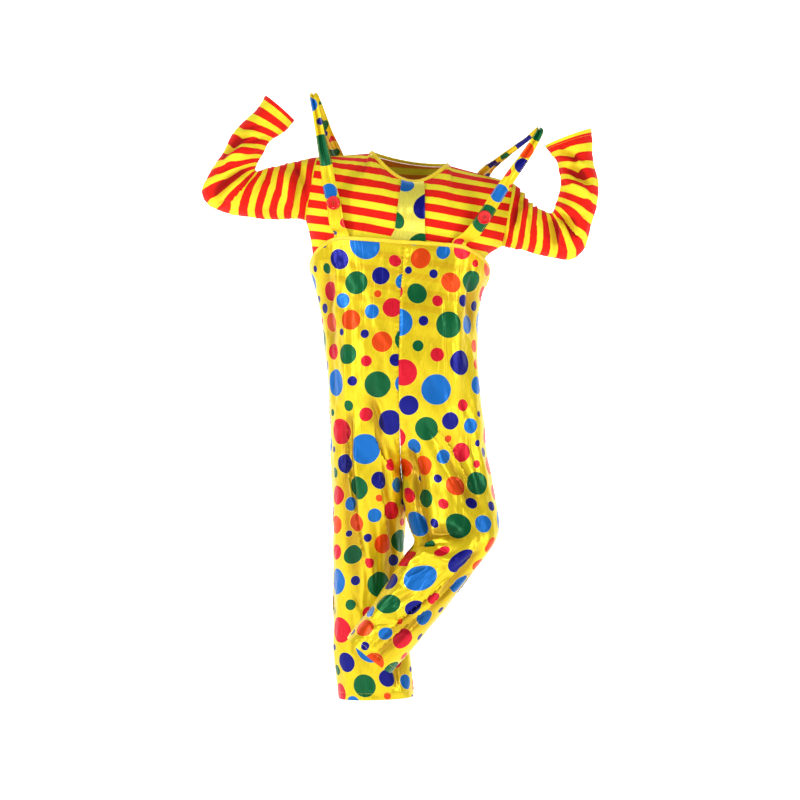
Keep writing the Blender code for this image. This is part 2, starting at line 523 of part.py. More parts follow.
def make_bib_binding(finish):
    """The bias binding along the dungarees' upper edge, all the way round."""
    loop, ups, outs = [], [], []
    for table, edge, side in ((RIGHT_LEG, RIGHT_EDGE, -1), (LEFT_LEG, LEFT_EDGE, 1)):
        share = np.linspace(-1, 1, 2 * LEG_COLUMNS - 1)[:-1] * -side
        row = edge_row(edge, share)
        point = leg(table, share, row)
        normal = outward(lambda s, r, t=table: leg(t, s, r), share, row, side)
        ahead = leg(table, share + STEP, edge_row(edge, share + STEP))
        tangent = unit(ahead - point)
        up = unit(np.cross(normal, tangent))
        up = up * np.sign(up[:, 2:])
        loop.append(point)
        ups.append(up)
        outs.append(normal)
    point, up, out = (np.concatenate(part) for part in (loop, ups, outs))
    half = BINDING_THICKNESS / 2
    tip = BINDING_WIDTH * 0.8
    section = ((SEAM_GAP, -half), (SEAM_GAP, half), (tip, half), (BINDING_WIDTH, 0), (tip, -half))
    corners = [point + up * rise + out * (deep - CLOTH / 2) for rise, deep in section]
    band("bib_binding", np.stack(corners, 1), finish, True)


def make_neck_binding(finish):
    """The bias binding round the neck, which stands up and in from the shirt's edge."""
    first, last = NECK_SHARE
    share = (shirt_columns(first, last) - first) / (last - first)
    front = neckline(share, {**NECK_FRONT, "depth": -NECK_FRONT["depth"]})
    back = neckline(share[::-1], NECK_BACK)
    point = np.concatenate([front[:-1], back[:-1]])
    tangent = unit(np.roll(point, -1, 0) - np.roll(point, 1, 0))
    centre = point.mean(0)
    inward = centre - point
    inward[:, 2] = np.linalg.norm(inward[:, :2], axis=1)
    up = unit(inward - tangent * (inward * tangent).sum(1, keepdims=True))
    out = unit(np.cross(tangent, up))
    out = out * np.sign((out * (point - centre)).sum(1, keepdims=True))
    half = BINDING_THICKNESS / 2
    start, end = SEAM_GAP, SEAM_GAP + BINDING_WIDTH
    tip = SEAM_GAP + BINDING_WIDTH * 0.8
    section = ((start, -half), (start, half), (tip, half), (end, 0), (tip, -half))
    corners = [point + up * rise + out * deep for rise, deep in section]
    band("neck_binding", np.stack(corners, 1), finish, True)


def shirt_columns(first, last):
    """Places of the shirt's columns between two shares: a few along each shoulder and more along the neck."""
    low, high = NECK_SHARE
    middle = (low + high) / 2
    ends = (0, low, middle, high, 1)
    counts = (SHOULDER_COLUMNS, NECK_COLUMNS, NECK_COLUMNS, SHOULDER_COLUMNS)
    places = [np.linspace(a, b, n, endpoint=False) for a, b, n in zip(ends[:-1], ends[1:], counts)]
    places = np.concatenate([*places, [1]])
    return np.concatenate([[first], places[(places > first + 0.004) & (places < last - 0.004)], [last]])


def shirt_grid(face, first, last, rows):
    """Points and outward directions of a stretch of the shirt. At the shoulder seam both faces share one direction,
    straight up, so that their rims lie side by side."""
    share = shirt_columns(first, last)[None, :]
    row = np.asarray(rows, float)[:, None]
    point = shirt(face, share, row)
    near = np.where(np.abs(row) < 1e-9, 2 * STEP, np.clip(row, STEP - 1, None))
    normal = outward(lambda s, r: shirt(face, s, r), np.clip(share, STEP, 1 - STEP), near, face)
    seam = (row < -0.999) & ((share < NECK_SHARE[0]) | (share > NECK_SHARE[1]))
    flat = unit(normal * np.array([1, 0, 1]))
    return point, np.where(seam[..., None], flat, normal)


def make_shirt(jersey):
    """Two fronts that meet under the placket, and one back."""
    upper = np.linspace(-1, 0, SLEEVE_COLUMNS // 2, endpoint=False)
    lower = np.linspace(0, len(SHIRT_BODY) - 1, SHIRT_LOWER_ROWS)
    rows = np.concatenate([upper, lower])
    rows[0] += 0.004
    gap = SEAM_GAP / 0.5
    pieces = (
        ("shirt_front_right", -1, gap, 0.5 - gap),
        ("shirt_front_left", -1, 0.5 + gap, 1 - gap),
        ("shirt_back", 1, gap, 1 - gap),
    )
    for name, face, first, last in pieces:
        point, normal = shirt_grid(face, first, last, rows)
        wall(name, point, point - normal * CLOTH, jersey)


def make_placket(satin):
    """A dotted strip down the middle of the shirt's front, laid on it from its points."""
    rows = np.concatenate([np.linspace(-0.985, 0, 8, endpoint=False), np.linspace(0, PLACKET_END, 4)])
    high = -rows[:, None]
    share = np.linspace(0, 1, 5)[None, :]
    first = PLACKET_LOW[0] + (PLACKET_TOP[0] - PLACKET_LOW[0]) * high
    last = PLACKET_LOW[1] + (PLACKET_TOP[1] - PLACKET_LOW[1]) * high
    place = first + (last - first) * share
    row = np.broadcast_to(rows[:, None], place.shape)
    point = shirt(-1, place, row)
    normal = outward(lambda s, r: shirt(-1, s, r), place, row, -1)
    inner = point + normal * SEAM_GAP * 1.8
    wall("placket", inner + normal * PLACKET_THICKNESS, inner, satin)


def make_sleeves(jersey):
    """Two sleeves, each a tube from its armhole to its open cuff."""
    sleeves = (
        ("right", RIGHT_SLEEVE, -1, RIGHT_SLEEVE_FOLDS),
        ("left", LEFT_SLEEVE, 1, LEFT_SLEEVE_FOLDS),
    )
    for name, table, side, folds in sleeves:
        share = np.linspace(-1, 1, SLEEVE_COLUMNS, endpoint=False)[None, :]
        row = np.linspace(0, len(table) - 1, SLEEVE_ROWS)[:, None]
        normal = outward(lambda s, r, t=table: tube(t, s, r), share, row, -side)
        outer = folded(tube(table, share, row), normal, folds)
        seam = unit(np.cross(outer[0, 0] - outer[0, SLEEVE_COLUMNS // 2], (0, 1, 0)))
        seam = seam * np.sign(seam[0]) * side
        outer[0] += seam * SEAM_GAP * 1.5
        normal[0] = unit(normal[0] - (normal[0] @ seam)[:, None] * seam)
        wall(f"sleeve_{name}", outer, outer - normal * CLOTH, jersey, ring=True)


def strap_end(table, edge, half, side, rise):
    """Five points across a strap that lies against the inside of the dungarees, at a height from their edge."""
    share = half * STRAP_SHARES[side][0 if half > 0 else 1]
    row = np.array(edge["corner"])
    reach = np.linalg.norm(leg(table, share + STEP, row) - leg(table, share - STEP, row)) / (2 * STEP)
    sign = 1 if side * half < 0 else -1
    places = share + sign * np.linspace(-0.5, 0.5, 5) * STRAP_ENDS / reach
    normal = outward(lambda s, r: leg(table, s, r), places, row, side)
    up = unit(leg(table, places, row) - leg(table, places, row + STEP))
    behind = CLOTH + SEAM_GAP + STRAP_ROOM + STRAP_THICKNESS / 2
    return leg(table, places, row) + up * rise - normal * behind


def strap_seat(share, height):
    """Five points across a strap that lies on the shirt's back."""
    row = np.array(-height)
    reach = np.linalg.norm(shirt(1, share + STEP, row) - shirt(1, share - STEP, row)) / (2 * STEP)
    places = share + np.linspace(-0.5, 0.5, 5) * 0.034 / reach
    normal = outward(lambda s, r: shirt(1, s, r), places, row, 1)
    return shirt(1, places, row) + normal * (SEAM_GAP + 2 * STRAP_ROOM + STRAP_THICKNESS / 2)


def strap_free(table):
    """Five points across a strap at each row of its table."""
    values = np.array(table)
    centre, width, across = values[:, :3], values[:, 3:4], values[:, 4:7]
    tangent = unit(np.gradient(centre, axis=0))
    across = unit(across - tangent * (across * tangent).sum(1, keepdims=True))
    return centre[:, None] + across[:, None] * width[:, None] * np.linspace(-0.5, 0.5, 5)[None, :, None]


def strap_surface(name, steps):
    """A grid of points in the middle of a strap's cloth, and its outward directions."""
    table, seat, body, edge, side = {
        "right": (RIGHT_STRAP, RIGHT_STRAP_SEAT, RIGHT_LEG, RIGHT_EDGE, -1),
        "left": (LEFT_STRAP, LEFT_STRAP_SEAT, LEFT_LEG, LEFT_EDGE, 1),
    }[name]
    front = [strap_end(body, edge, 1, side, rise) for rise in STRAP_TUCK]
    back = [strap_end(body, edge, -1, side, rise) for rise in reversed(STRAP_TUCK)]
    seated = [strap_seat(share, height) for share, height in seat]
    rows = np.stack([*front, *strap_free(table), *seated, *back])
    place = np.linspace(0, len(rows) - 1, steps)
    points = along(rows.reshape(len(rows), -1), place).reshape(steps, 5, 3)
    normal = unit(np.cross(np.gradient(points, axis=1), np.gradient(points, axis=0)))
    return points, normal


def make_straps(satin, plastic):
    """Two shoulder straps, tucked in behind the dungarees' edge at both ends, each with a button."""
    for name in ("right", "left"):
        points, normal = strap_surface(name, STRAP_STEPS)
        outer = points + normal * STRAP_THICKNESS / 2
        wall(f"strap_{name}", outer, outer - normal * STRAP_THICKNESS, satin)
        rows = len(RIGHT_STRAP if name == "right" else LEFT_STRAP) + 2 * len(STRAP_TUCK) + 5
        spot = round((len(STRAP_TUCK) + BUTTON_ROW) * (STRAP_STEPS - 1) / (rows - 1))
        facing = normal[spot, 2]
        across = unit(points[spot, 3] - points[spot, 1])
        share = np.linspace(0, 1, 9)[:, None, None, None]
        cloth = ((1 - share) * outer[:-1] + share * outer[1:]).reshape(-1, 3)
        near = cloth[np.linalg.norm(cloth - outer[spot, 2], axis=-1) < BUTTON_RADIUS]
        rise = ((near - outer[spot, 2]) @ facing).max() + SEAM_GAP
        make_button(f"button_{name}", outer[spot, 2] + facing * rise, across, facing, plastic)


def make_button(name, seat, across, facing, plastic):
    """A round button with a raised rim and four holes, sitting with its back on the seat."""
    steps = 24
    profile = ((0.86, 0.0), (1.0, 0.25), (1.0, 0.75), (0.92, 1.0), (0.80, 1.0), (0.70, 0.62))
    angle = np.linspace(0, 2 * math.pi, steps, endpoint=False)
    up = np.cross(facing, across)
    rings = []
    for reach, rise in profile:
        ring = np.cos(angle)[:, None] * across + np.sin(angle)[:, None] * up
        rings.append(seat + ring * reach * BUTTON_RADIUS + facing * rise * BUTTON_THICKNESS)
    button = band(name, np.stack(rings), plastic, False)
    cutter = hole_cutter(name, seat, across, up, facing, plastic)
    cut = button.modifiers.new("thread holes", "BOOLEAN")
    cut.object = cutter
    cut.operation = "DIFFERENCE"


def hole_cutter(name, seat, across, up, facing, plastic):
    """Four round pegs that cut the button's thread holes."""
    steps = 8
    reach = BUTTON_HOLE_SPACING / 2
    angle = np.linspace(0, 2 * math.pi, steps, endpoint=False)
    ring = (np.cos(angle)[:, None] * across + np.sin(angle)[:, None] * up) * BUTTON_HOLE_RADIUS
    points, faces = [], []
    for right, high in ((-1, -1), (1, -1), (1, 1), (-1, 1)):
        centre = seat + across * right * reach + up * high * reach
        first = len(points)
        points += [*(centre + ring - facing * 0.002), *(centre + ring + facing * (BUTTON_THICKNESS + 0.002))]
        low = list(range(first, first + steps))
        top = [i + steps for i in low]
        faces += [low, top]
        faces += [(low[i], low[(i + 1) % steps], top[(i + 1) % steps], top[i]) for i in range(steps)]
    cutter = mesh_object(f"{name}_hole_cutter", points, faces, plastic)
    cutter.hide_render = True
    cutter.display_type = "WIRE"
    return cutter


def main():
    """Builds every piece of the costume."""
    for old in list(bpy.data.objects):
        bpy.data.objects.remove(old)
    jersey = material("striped jersey", RED, 0.75)
    satin = material("dotted satin", SATIN_YELLOW, 0.35)
    bias = material("yellow bias tape", YELLOW, 0.5)
    plastic = material("red plastic", RED, 0.25)
    make_dungarees(satin)
    make_bib_binding(bias)
    make_shirt(jersey)
    make_placket(satin)
    make_neck_binding(bias)
    make_sleeves(jersey)
    make_straps(satin, plastic)


main()
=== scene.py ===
# %% [markdown]
# # A clown costume, worn and empty
#
# The costume is two garments: a shirt of striped jersey, and wide dungarees of dotted satin over it. It
# keeps its pose from the picture: both arms are bent up, the straps are lifted in two loops, and one shin is
# crossed in front of the other leg.
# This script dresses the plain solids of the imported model. It makes each piece of cloth again from the same
# named sizes, much finer, with its creases, print, bindings, buttons and sewing. Every size is in metres.

# %% The frame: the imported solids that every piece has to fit
import math

import bpy
import numpy as np
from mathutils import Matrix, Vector


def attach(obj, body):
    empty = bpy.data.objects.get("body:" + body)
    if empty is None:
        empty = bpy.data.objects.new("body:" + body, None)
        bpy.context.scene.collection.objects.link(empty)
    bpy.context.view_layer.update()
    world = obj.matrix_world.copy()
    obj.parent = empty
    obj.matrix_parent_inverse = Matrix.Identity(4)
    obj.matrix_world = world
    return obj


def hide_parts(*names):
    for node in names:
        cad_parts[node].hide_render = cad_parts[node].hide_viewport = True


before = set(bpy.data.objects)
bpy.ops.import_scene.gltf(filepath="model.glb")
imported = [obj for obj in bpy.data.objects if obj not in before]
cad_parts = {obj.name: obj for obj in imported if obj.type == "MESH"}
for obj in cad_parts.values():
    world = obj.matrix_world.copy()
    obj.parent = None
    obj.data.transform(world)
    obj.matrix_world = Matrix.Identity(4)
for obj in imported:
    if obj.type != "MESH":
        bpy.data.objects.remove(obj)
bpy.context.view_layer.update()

# %% [markdown]
# ## Camera, floor and light
#
# The picture looks straight along +Y from six metres away, so almost nothing is foreshortened. The floor lies
# 0.22 m below the lowest hem, and the costume hangs above it as if it was still worn. Satin shows its
# folds by what it mirrors, so tall soft boxes stand on both sides, with a big one above the camera.

# %% Camera
CAMERA_PLACE = (-0.0245, -6.0, -0.588)
LENS_MM, SENSOR_MM = 110.2, 36.0


def placed(name, data):
    """A new object of the scene with this data."""
    made = bpy.data.objects.new(name, data)
    bpy.context.scene.collection.objects.link(made)
    return made


camera_data = bpy.data.cameras.new("front view")
camera_data.lens = LENS_MM
camera_data.sensor_width = SENSOR_MM
camera = placed("front_view", camera_data)
camera.location = CAMERA_PLACE
camera.rotation_euler = (math.pi / 2, 0, 0)
bpy.context.scene.camera = camera


# %% Colours and nodes
def paint(code):
    """The colour of a web code such as #f4e02a, as the linear numbers that Blender's sockets take."""
    parts = np.array([int(code[at : at + 2], 16) for at in (1, 3, 5)]) / 255
    linear = np.where(parts <= 0.04045, parts / 12.92, ((parts + 0.055) / 1.055) ** 2.4)
    return (*linear.tolist(), 1.0)


def new_finish(name, **levels):
    """A material whose shader has the given levels, with two functions that build its nodes.

    add("Math", [a, b], "ADD") makes that node, sets or links its inputs in their order, and returns the
    output that the operation fills. put(level, value) links an output to an input of the shader."""
    finish = bpy.data.materials.new(name)
    finish.use_nodes = True
    tree = finish.node_tree
    shader = tree.nodes["Principled BSDF"]
    for level, value in levels.items():
        shader.inputs[level.replace("_", " ").title().replace("Ior", "IOR")].default_value = value

    def add(kind, inputs=(), operation=None, **settings):
        node = tree.nodes.new("ShaderNode" + kind)
        if operation:
            node.operation = operation
        for setting, value in settings.items():
            setattr(node, setting, value)
        named = inputs.items() if isinstance(inputs, dict) else enumerate(inputs)
        for socket, value in named:
            if isinstance(value, bpy.types.NodeSocket):
                tree.links.new(value, node.inputs[socket])
            else:
                node.inputs[socket].default_value = value
        return node.outputs[1 if operation == "LENGTH" else 0]

    def put(level, value):
        tree.links.new(value, shader.inputs[level])

    return finish, add, put


# %% Floor and lights
FLOOR_HEIGHT = -1.545


def soft_box(name, place, width, height, watts, aim=(0, 0, -0.6)):
    """A rectangular lamp at a place, turned towards the point that it is aimed at."""
    data = bpy.data.lights.new(name, "AREA")
    data.shape = "RECTANGLE"
    data.size, data.size_y, data.energy = width, height, watts
    lamp = placed(name, data)
    lamp.location = place
    lamp.rotation_euler = (Vector(place) - Vector(aim)).to_track_quat("Z", "Y").to_euler()


soft_box("left_box", (-3.0, -2.6, 0.4), 0.6, 2.6, 62)
soft_box("right_box", (2.9, -1.9, 0.4), 0.5, 2.6, 40)
soft_box("front_box", (-1.2, -5.0, 2.2), 1.4, 1.2, 62)

world = bpy.data.worlds.new("studio")
world.use_nodes = True
world.node_tree.nodes["Background"].inputs["Color"].default_value = (1.0, 1.0, 1.0, 1.0)
world.node_tree.nodes["Background"].inputs["Strength"].default_value = 0.20
bpy.context.scene.world = world
bpy.context.scene.view_settings.view_transform = "Standard"


def stage_plane(name, corners, glow):
    """A large pale plane of the studio, which gives off some light of its own, as a lit backdrop does."""
    finish, _, _ = new_finish(name, base_color=(0.9, 0.9, 0.9, 1), roughness=0.8, specular_ior_level=0.1)
    shader = finish.node_tree.nodes["Principled BSDF"]
    shader.inputs["Emission Color"].default_value = (1, 1, 1, 1)
    shader.inputs["Emission Strength"].default_value = glow
    mesh = bpy.data.meshes.new(name)
    mesh.from_pydata(corners, [], [(0, 1, 2, 3)])
    mesh.materials.append(finish)
    placed(name, mesh)


REACH, BACK = 14.0, 6.0  # how far the planes stretch, and how far behind the costume the backdrop stands
WIDE, DEEP = (-REACH, REACH, REACH, -REACH), (-REACH, -REACH, BACK, BACK)
HIGH = (FLOOR_HEIGHT, FLOOR_HEIGHT, REACH, REACH)
stage_plane("floor", [(x, y, FLOOR_HEIGHT) for x, y in zip(WIDE, DEEP)], 0.62)
stage_plane("backdrop", [(x, BACK, z) for x, z in zip(WIDE, HIGH)], 0.95)

# %% [markdown]
# ## Named sizes
#
# These tables are the garment. A row of a leg, a sleeve or the body is one section of the cloth: its outer
# and inner ends as seen from the front, its middle, and its reach to the front and the back. A row of a
# crease table is one fold: the face that it is on (-1 is the front), its two ends as seen from the front, how
# far it bows, its half width, and its height, which is negative for a trough. The large folds are those of
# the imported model. The finer ones were read off the picture one by one, and the backs have similar ones.

# %% The body and the legs
ROUNDNESS = 2.3  # 2 is an ellipse, more is squarer: the body of the dungarees and the shirt

# Columns: the outer end's x and z, the inner end's x and z, the middle's y, the reach to the front and to the
# back, and closed, which is 0 where the section is open at the middle seam and 1 where it is a whole ring.
RIGHT_LEG = [
    (-0.245, -0.186, -0.015, -0.203, 0.000, 0.134, 0.128, 0.00),
    (-0.246, -0.265, -0.018, -0.272, 0.000, 0.137, 0.130, 0.00),
    (-0.230, -0.321, -0.023, -0.326, 0.000, 0.138, 0.128, 0.00),
    (-0.216, -0.392, -0.026, -0.394, 0.000, 0.138, 0.126, 0.00),
    (-0.208, -0.466, -0.027, -0.466, 0.000, 0.136, 0.127, 0.00),
    (-0.201, -0.541, -0.028, -0.541, 0.000, 0.132, 0.132, 0.00),
    (-0.197, -0.606, -0.027, -0.606, 0.002, 0.128, 0.134, 0.03),
    (-0.195, -0.657, -0.025, -0.659, 0.004, 0.124, 0.132, 0.12),
    (-0.194, -0.698, -0.024, -0.701, 0.006, 0.120, 0.128, 0.27),
    (-0.194, -0.730, -0.023, -0.733, 0.008, 0.117, 0.124, 0.46),
    (-0.193, -0.757, -0.022, -0.760, 0.010, 0.113, 0.120, 0.72),
    (-0.192, -0.785, -0.020, -0.787, 0.012, 0.109, 0.116, 0.90),
    (-0.190, -0.822, -0.017, -0.822, 0.015, 0.104, 0.110, 1.00),
    (-0.189, -0.870, -0.014, -0.870, 0.021, 0.099, 0.104, 1.00),
    (-0.189, -0.940, -0.015, -0.940, 0.031, 0.091, 0.096, 1.00),
    (-0.190, -1.020, -0.015, -1.020, 0.044, 0.084, 0.090, 1.00),
    (-0.190, -1.110, -0.011, -1.110, 0.053, 0.079, 0.086, 1.00),
    (-0.188, -1.200, -0.002, -1.200, 0.058, 0.078, 0.086, 1.00),
    (-0.182, -1.266, 0.005, -1.264, 0.060, 0.079, 0.087, 1.00),
    (-0.176, -1.324, 0.009, -1.319, 0.062, 0.081, 0.088, 1.00),
]
LEFT_LEG = [
    (0.191, -0.225, -0.015, -0.203, 0.000, 0.134, 0.128, 0.00),
    (0.196, -0.284, -0.018, -0.272, 0.000, 0.137, 0.130, 0.00),
    (0.175, -0.328, -0.023, -0.326, 0.000, 0.138, 0.128, 0.00),
    (0.165, -0.394, -0.026, -0.394, 0.000, 0.138, 0.126, 0.00),
    (0.164, -0.466, -0.027, -0.466, 0.000, 0.136, 0.127, 0.00),
    (0.168, -0.541, -0.028, -0.541, 0.000, 0.132, 0.132, 0.00),
    (0.176, -0.606, -0.027, -0.606, 0.002, 0.128, 0.134, 0.03),
    (0.182, -0.657, -0.025, -0.659, 0.003, 0.124, 0.131, 0.12),
    (0.186, -0.698, -0.024, -0.701, 0.003, 0.120, 0.127, 0.27),
    (0.190, -0.729, -0.023, -0.733, 0.002, 0.117, 0.123, 0.46),
    (0.195, -0.755, -0.021, -0.760, -0.002, 0.113, 0.118, 0.72),
    (0.201, -0.782, -0.018, -0.787, -0.010, 0.108, 0.112, 0.90),
    (0.207, -0.818, -0.014, -0.823, -0.027, 0.103, 0.106, 1.00),
    (0.213, -0.856, -0.008, -0.861, -0.048, 0.098, 0.100, 1.00),
    (0.216, -0.890, 0.001, -0.897, -0.070, 0.094, 0.094, 1.00),
    (0.211, -0.920, 0.008, -0.922, -0.089, 0.090, 0.088, 1.00),
    (0.193, -0.950, 0.007, -0.939, -0.102, 0.086, 0.082, 1.00),
    (0.165, -0.986, -0.006, -0.955, -0.111, 0.082, 0.077, 1.00),
    (0.132, -1.029, -0.027, -0.982, -0.118, 0.078, 0.073, 1.00),
    (0.096, -1.073, -0.051, -1.021, -0.122, 0.075, 0.070, 1.00),
    (0.061, -1.117, -0.075, -1.057, -0.123, 0.072, 0.068, 1.00),
    (0.026, -1.157, -0.098, -1.088, -0.124, 0.070, 0.066, 1.00),
    (-0.010, -1.200, -0.122, -1.118, -0.124, 0.067, 0.064, 1.00),
    (-0.046, -1.242, -0.151, -1.158, -0.123, 0.066, 0.062, 1.00),
]
CROTCH = 0.75  # the value of closed at the crotch, where the front and back first meet between the legs
CROTCH_START = 0.30  # the value of closed where the middle seam starts to turn in under the body
# The dungarees' upper edge: the table row at the middle, at the corner and at the side, and how far round
# from the side the corner is, as a share of the quarter.
RIGHT_EDGE = {"middle": 0.17, "corner": 0.11, "side": 1.23, "share": 0.52}
LEFT_EDGE = {"middle": 0.17, "corner": 0.05, "side": 0.95, "share": 0.54}
EDGE_FADE = 2.9  # the first table row that no longer follows the upper edge
CORNER_ROUNDING = 0.07

# %% The sleeves and the shirt
# Columns as those of a leg, without closed, because every section is a whole ring.
RIGHT_SLEEVE = [
    (-0.255, -0.149, -0.225, 0.007, 0.000, 0.066, 0.066),
    (-0.290, -0.146, -0.266, -0.003, -0.022, 0.066, 0.064),
    (-0.336, -0.148, -0.314, -0.019, -0.046, 0.063, 0.060),
    (-0.387, -0.146, -0.352, -0.029, -0.074, 0.060, 0.057),
    (-0.440, -0.138, -0.369, -0.037, -0.096, 0.059, 0.056),
    (-0.484, -0.120, -0.373, -0.034, -0.111, 0.060, 0.056),
    (-0.500, -0.088, -0.371, -0.027, -0.119, 0.061, 0.056),
    (-0.486, -0.052, -0.364, -0.014, -0.122, 0.060, 0.056),
    (-0.455, -0.002, -0.353, 0.007, -0.121, 0.058, 0.055),
    (-0.428, 0.046, -0.339, 0.030, -0.119, 0.055, 0.053),
    (-0.398, 0.080, -0.318, 0.047, -0.116, 0.052, 0.050),
    (-0.368, 0.114, -0.296, 0.064, -0.112, 0.050, 0.048),
    (-0.348, 0.144, -0.279, 0.085, -0.108, 0.051, 0.049),
]
LEFT_SLEEVE = [
    (0.225, -0.211, 0.252, -0.056, 0.000, 0.066, 0.066),
    (0.249, -0.216, 0.273, -0.082, -0.025, 0.066, 0.064),
    (0.279, -0.226, 0.296, -0.113, -0.055, 0.063, 0.060),
    (0.314, -0.238, 0.319, -0.130, -0.086, 0.060, 0.057),
    (0.351, -0.248, 0.334, -0.138, -0.110, 0.059, 0.056),
    (0.388, -0.249, 0.340, -0.138, -0.126, 0.060, 0.056),
    (0.415, -0.228, 0.344, -0.132, -0.135, 0.061, 0.056),
    (0.429, -0.188, 0.350, -0.119, -0.140, 0.060, 0.056),
    (0.442, -0.142, 0.356, -0.099, -0.140, 0.058, 0.055),
    (0.450, -0.095, 0.361, -0.071, -0.136, 0.056, 0.054),
    (0.447, -0.050, 0.359, -0.042, -0.130, 0.054, 0.052),
    (0.440, -0.005, 0.350, -0.012, -0.121, 0.053, 0.051),
    (0.437, 0.032, 0.337, 0.007, -0.115, 0.054, 0.052),
    (0.435, 0.064, 0.324, 0.023, -0.110, 0.057, 0.054),
]
# The shirt's body below the armholes, from the underarm down to its hidden hem.
SHIRT_BODY = [
    (-0.255, -0.149, 0.225, -0.211, 0.000, 0.117, 0.111),
    (-0.243, -0.192, 0.188, -0.234, 0.000, 0.116, 0.111),
    (-0.235, -0.245, 0.177, -0.264, 0.000, 0.116, 0.112),
    (-0.210, -0.335, 0.153, -0.340, 0.000, 0.119, 0.112),
    (-0.196, -0.430, 0.149, -0.432, 0.000, 0.118, 0.110),
    (-0.190, -0.530, 0.152, -0.530, 0.000, 0.115, 0.114),
    (-0.184, -0.620, 0.160, -0.620, 0.002, 0.111, 0.119),
]
NECK_SHARE = (1 / 3, 2 / 3)  # where the neckline starts and ends along the shirt's top edge
NECK_RIGHT = (-0.101, 0.010, 0.017)
NECK_LEFT = (0.099, 0.006, -0.014)
NECK_FRONT = {"depth": 0.078, "drop": 0.062, "pointed": 2.2}
NECK_BACK = {"depth": 0.058, "drop": 0.006, "pointed": 2.0}
SHOULDER_ROUNDING = 1.9  # the chest and back keep their depth, then turn in to the shoulder seam
ARMHOLE_REACH = 3.0  # how fast the armholes' roundness fades towards the middle of the chest

# %% The placket, the straps and the buttons
# The placket's two edges, as shares of the shirt's front, at the neck and at the underarm level.
PLACKET_TOP = (0.479, 0.5365)
PLACKET_LOW = (0.4716, 0.567)
PLACKET_END = 1.5  # table row of SHIRT_BODY, just inside the bib

# A strap's centre line between the bib and the back. Columns: x, y, z, the strap's width there, and the
# direction in which its width runs.
RIGHT_STRAP = [
    (-0.176, -0.121, -0.165, 0.037, 0.95, -0.30, 0.00),
    (-0.184, -0.125, -0.115, 0.034, 0.99, -0.10, 0.00),
    (-0.194, -0.128, -0.072, 0.032, 1.00, -0.05, 0.00),
    (-0.202, -0.134, -0.020, 0.029, 1.00, 0.00, 0.00),
    (-0.213, -0.142, 0.038, 0.023, 1.00, 0.05, 0.00),
    (-0.225, -0.148, 0.100, 0.018, 1.00, 0.00, 0.05),
    (-0.232, -0.148, 0.134, 0.016, 1.00, 0.00, 0.05),
    (-0.230, -0.137, 0.144, 0.016, 1.00, 0.00, 0.00),
    (-0.224, -0.122, 0.131, 0.017, 1.00, 0.05, 0.00),
    (-0.213, -0.085, 0.096, 0.022, 1.00, 0.10, 0.00),
    (-0.201, -0.042, 0.060, 0.027, 1.00, 0.15, 0.00),
    (-0.188, 0.012, 0.032, 0.031, 1.00, 0.15, 0.05),
    (-0.174, 0.062, 0.001, 0.033, 0.98, 0.20, 0.00),
]
LEFT_STRAP = [
    (0.147, -0.120, -0.190, 0.037, 0.95, 0.30, 0.10),
    (0.177, -0.126, -0.150, 0.034, 0.99, 0.10, 0.20),
    (0.212, -0.131, -0.094, 0.030, 1.00, 0.05, 0.00),
    (0.250, -0.140, -0.040, 0.027, 1.00, 0.00, 0.00),
    (0.279, -0.150, 0.001, 0.024, 1.00, 0.00, 0.00),
    (0.297, -0.156, 0.030, 0.020, 1.00, 0.00, 0.00),
    (0.309, -0.157, 0.052, 0.017, 1.00, 0.05, 0.00),
    (0.309, -0.148, 0.061, 0.016, 1.00, 0.15, 0.00),
    (0.301, -0.137, 0.054, 0.016, 1.00, 0.20, 0.00),
    (0.284, -0.122, 0.040, 0.018, 1.00, 0.30, 0.00),
    (0.247, -0.087, 0.015, 0.023, 1.00, 0.40, 0.00),
    (0.214, -0.045, -0.007, 0.027, 1.00, 0.35, 0.00),
    (0.189, 0.012, -0.023, 0.032, 1.00, 0.20, -0.10),
    (0.173, 0.058, -0.047, 0.034, 0.98, -0.05, 0.00),
]
# Where the strap then lies on the shirt's back, as shares of its width and heights above the underarm.
RIGHT_STRAP_SEAT = ((0.232, 0.68), (0.262, 0.54), (0.291, 0.40), (0.318, 0.26), (0.342, 0.12))
LEFT_STRAP_SEAT = ((0.785, 0.70), (0.760, 0.56), (0.738, 0.41), (0.718, 0.26), (0.700, 0.12))
# Heights from the dungarees' edge of the rows where a strap lies inside it, and how far round its ends are
# sewn on at the front and the back, by side.
STRAP_TUCK = (-0.034, -0.014, 0.013)
STRAP_SHARES = {-1: (0.56, 0.74), 1: (0.56, 0.64)}
STRAP_ENDS = 0.040  # its width there
STRAP_SEAT_WIDTH = 0.034  # its width on the shirt's back
STRAP_ROOM = 0.0006  # extra room between a strap and the cloth that it lies on
BUTTON_ROW = 1.0  # row of the strap's table where its button is sewn on
BINDING_WIDTH = 0.010
BINDING_THICKNESS = 0.0026
STRAP_THICKNESS = 0.0024
BUTTON_RADIUS = 0.0165
BUTTON_THICKNESS = 0.0042
BUTTON_HOLE_RADIUS = 0.0014
BUTTON_HOLE_SPACING = 0.0046
CLOTH = 0.0018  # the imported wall, which the straps keep clear of
SEAM_GAP = 0.0005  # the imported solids' space at a seam

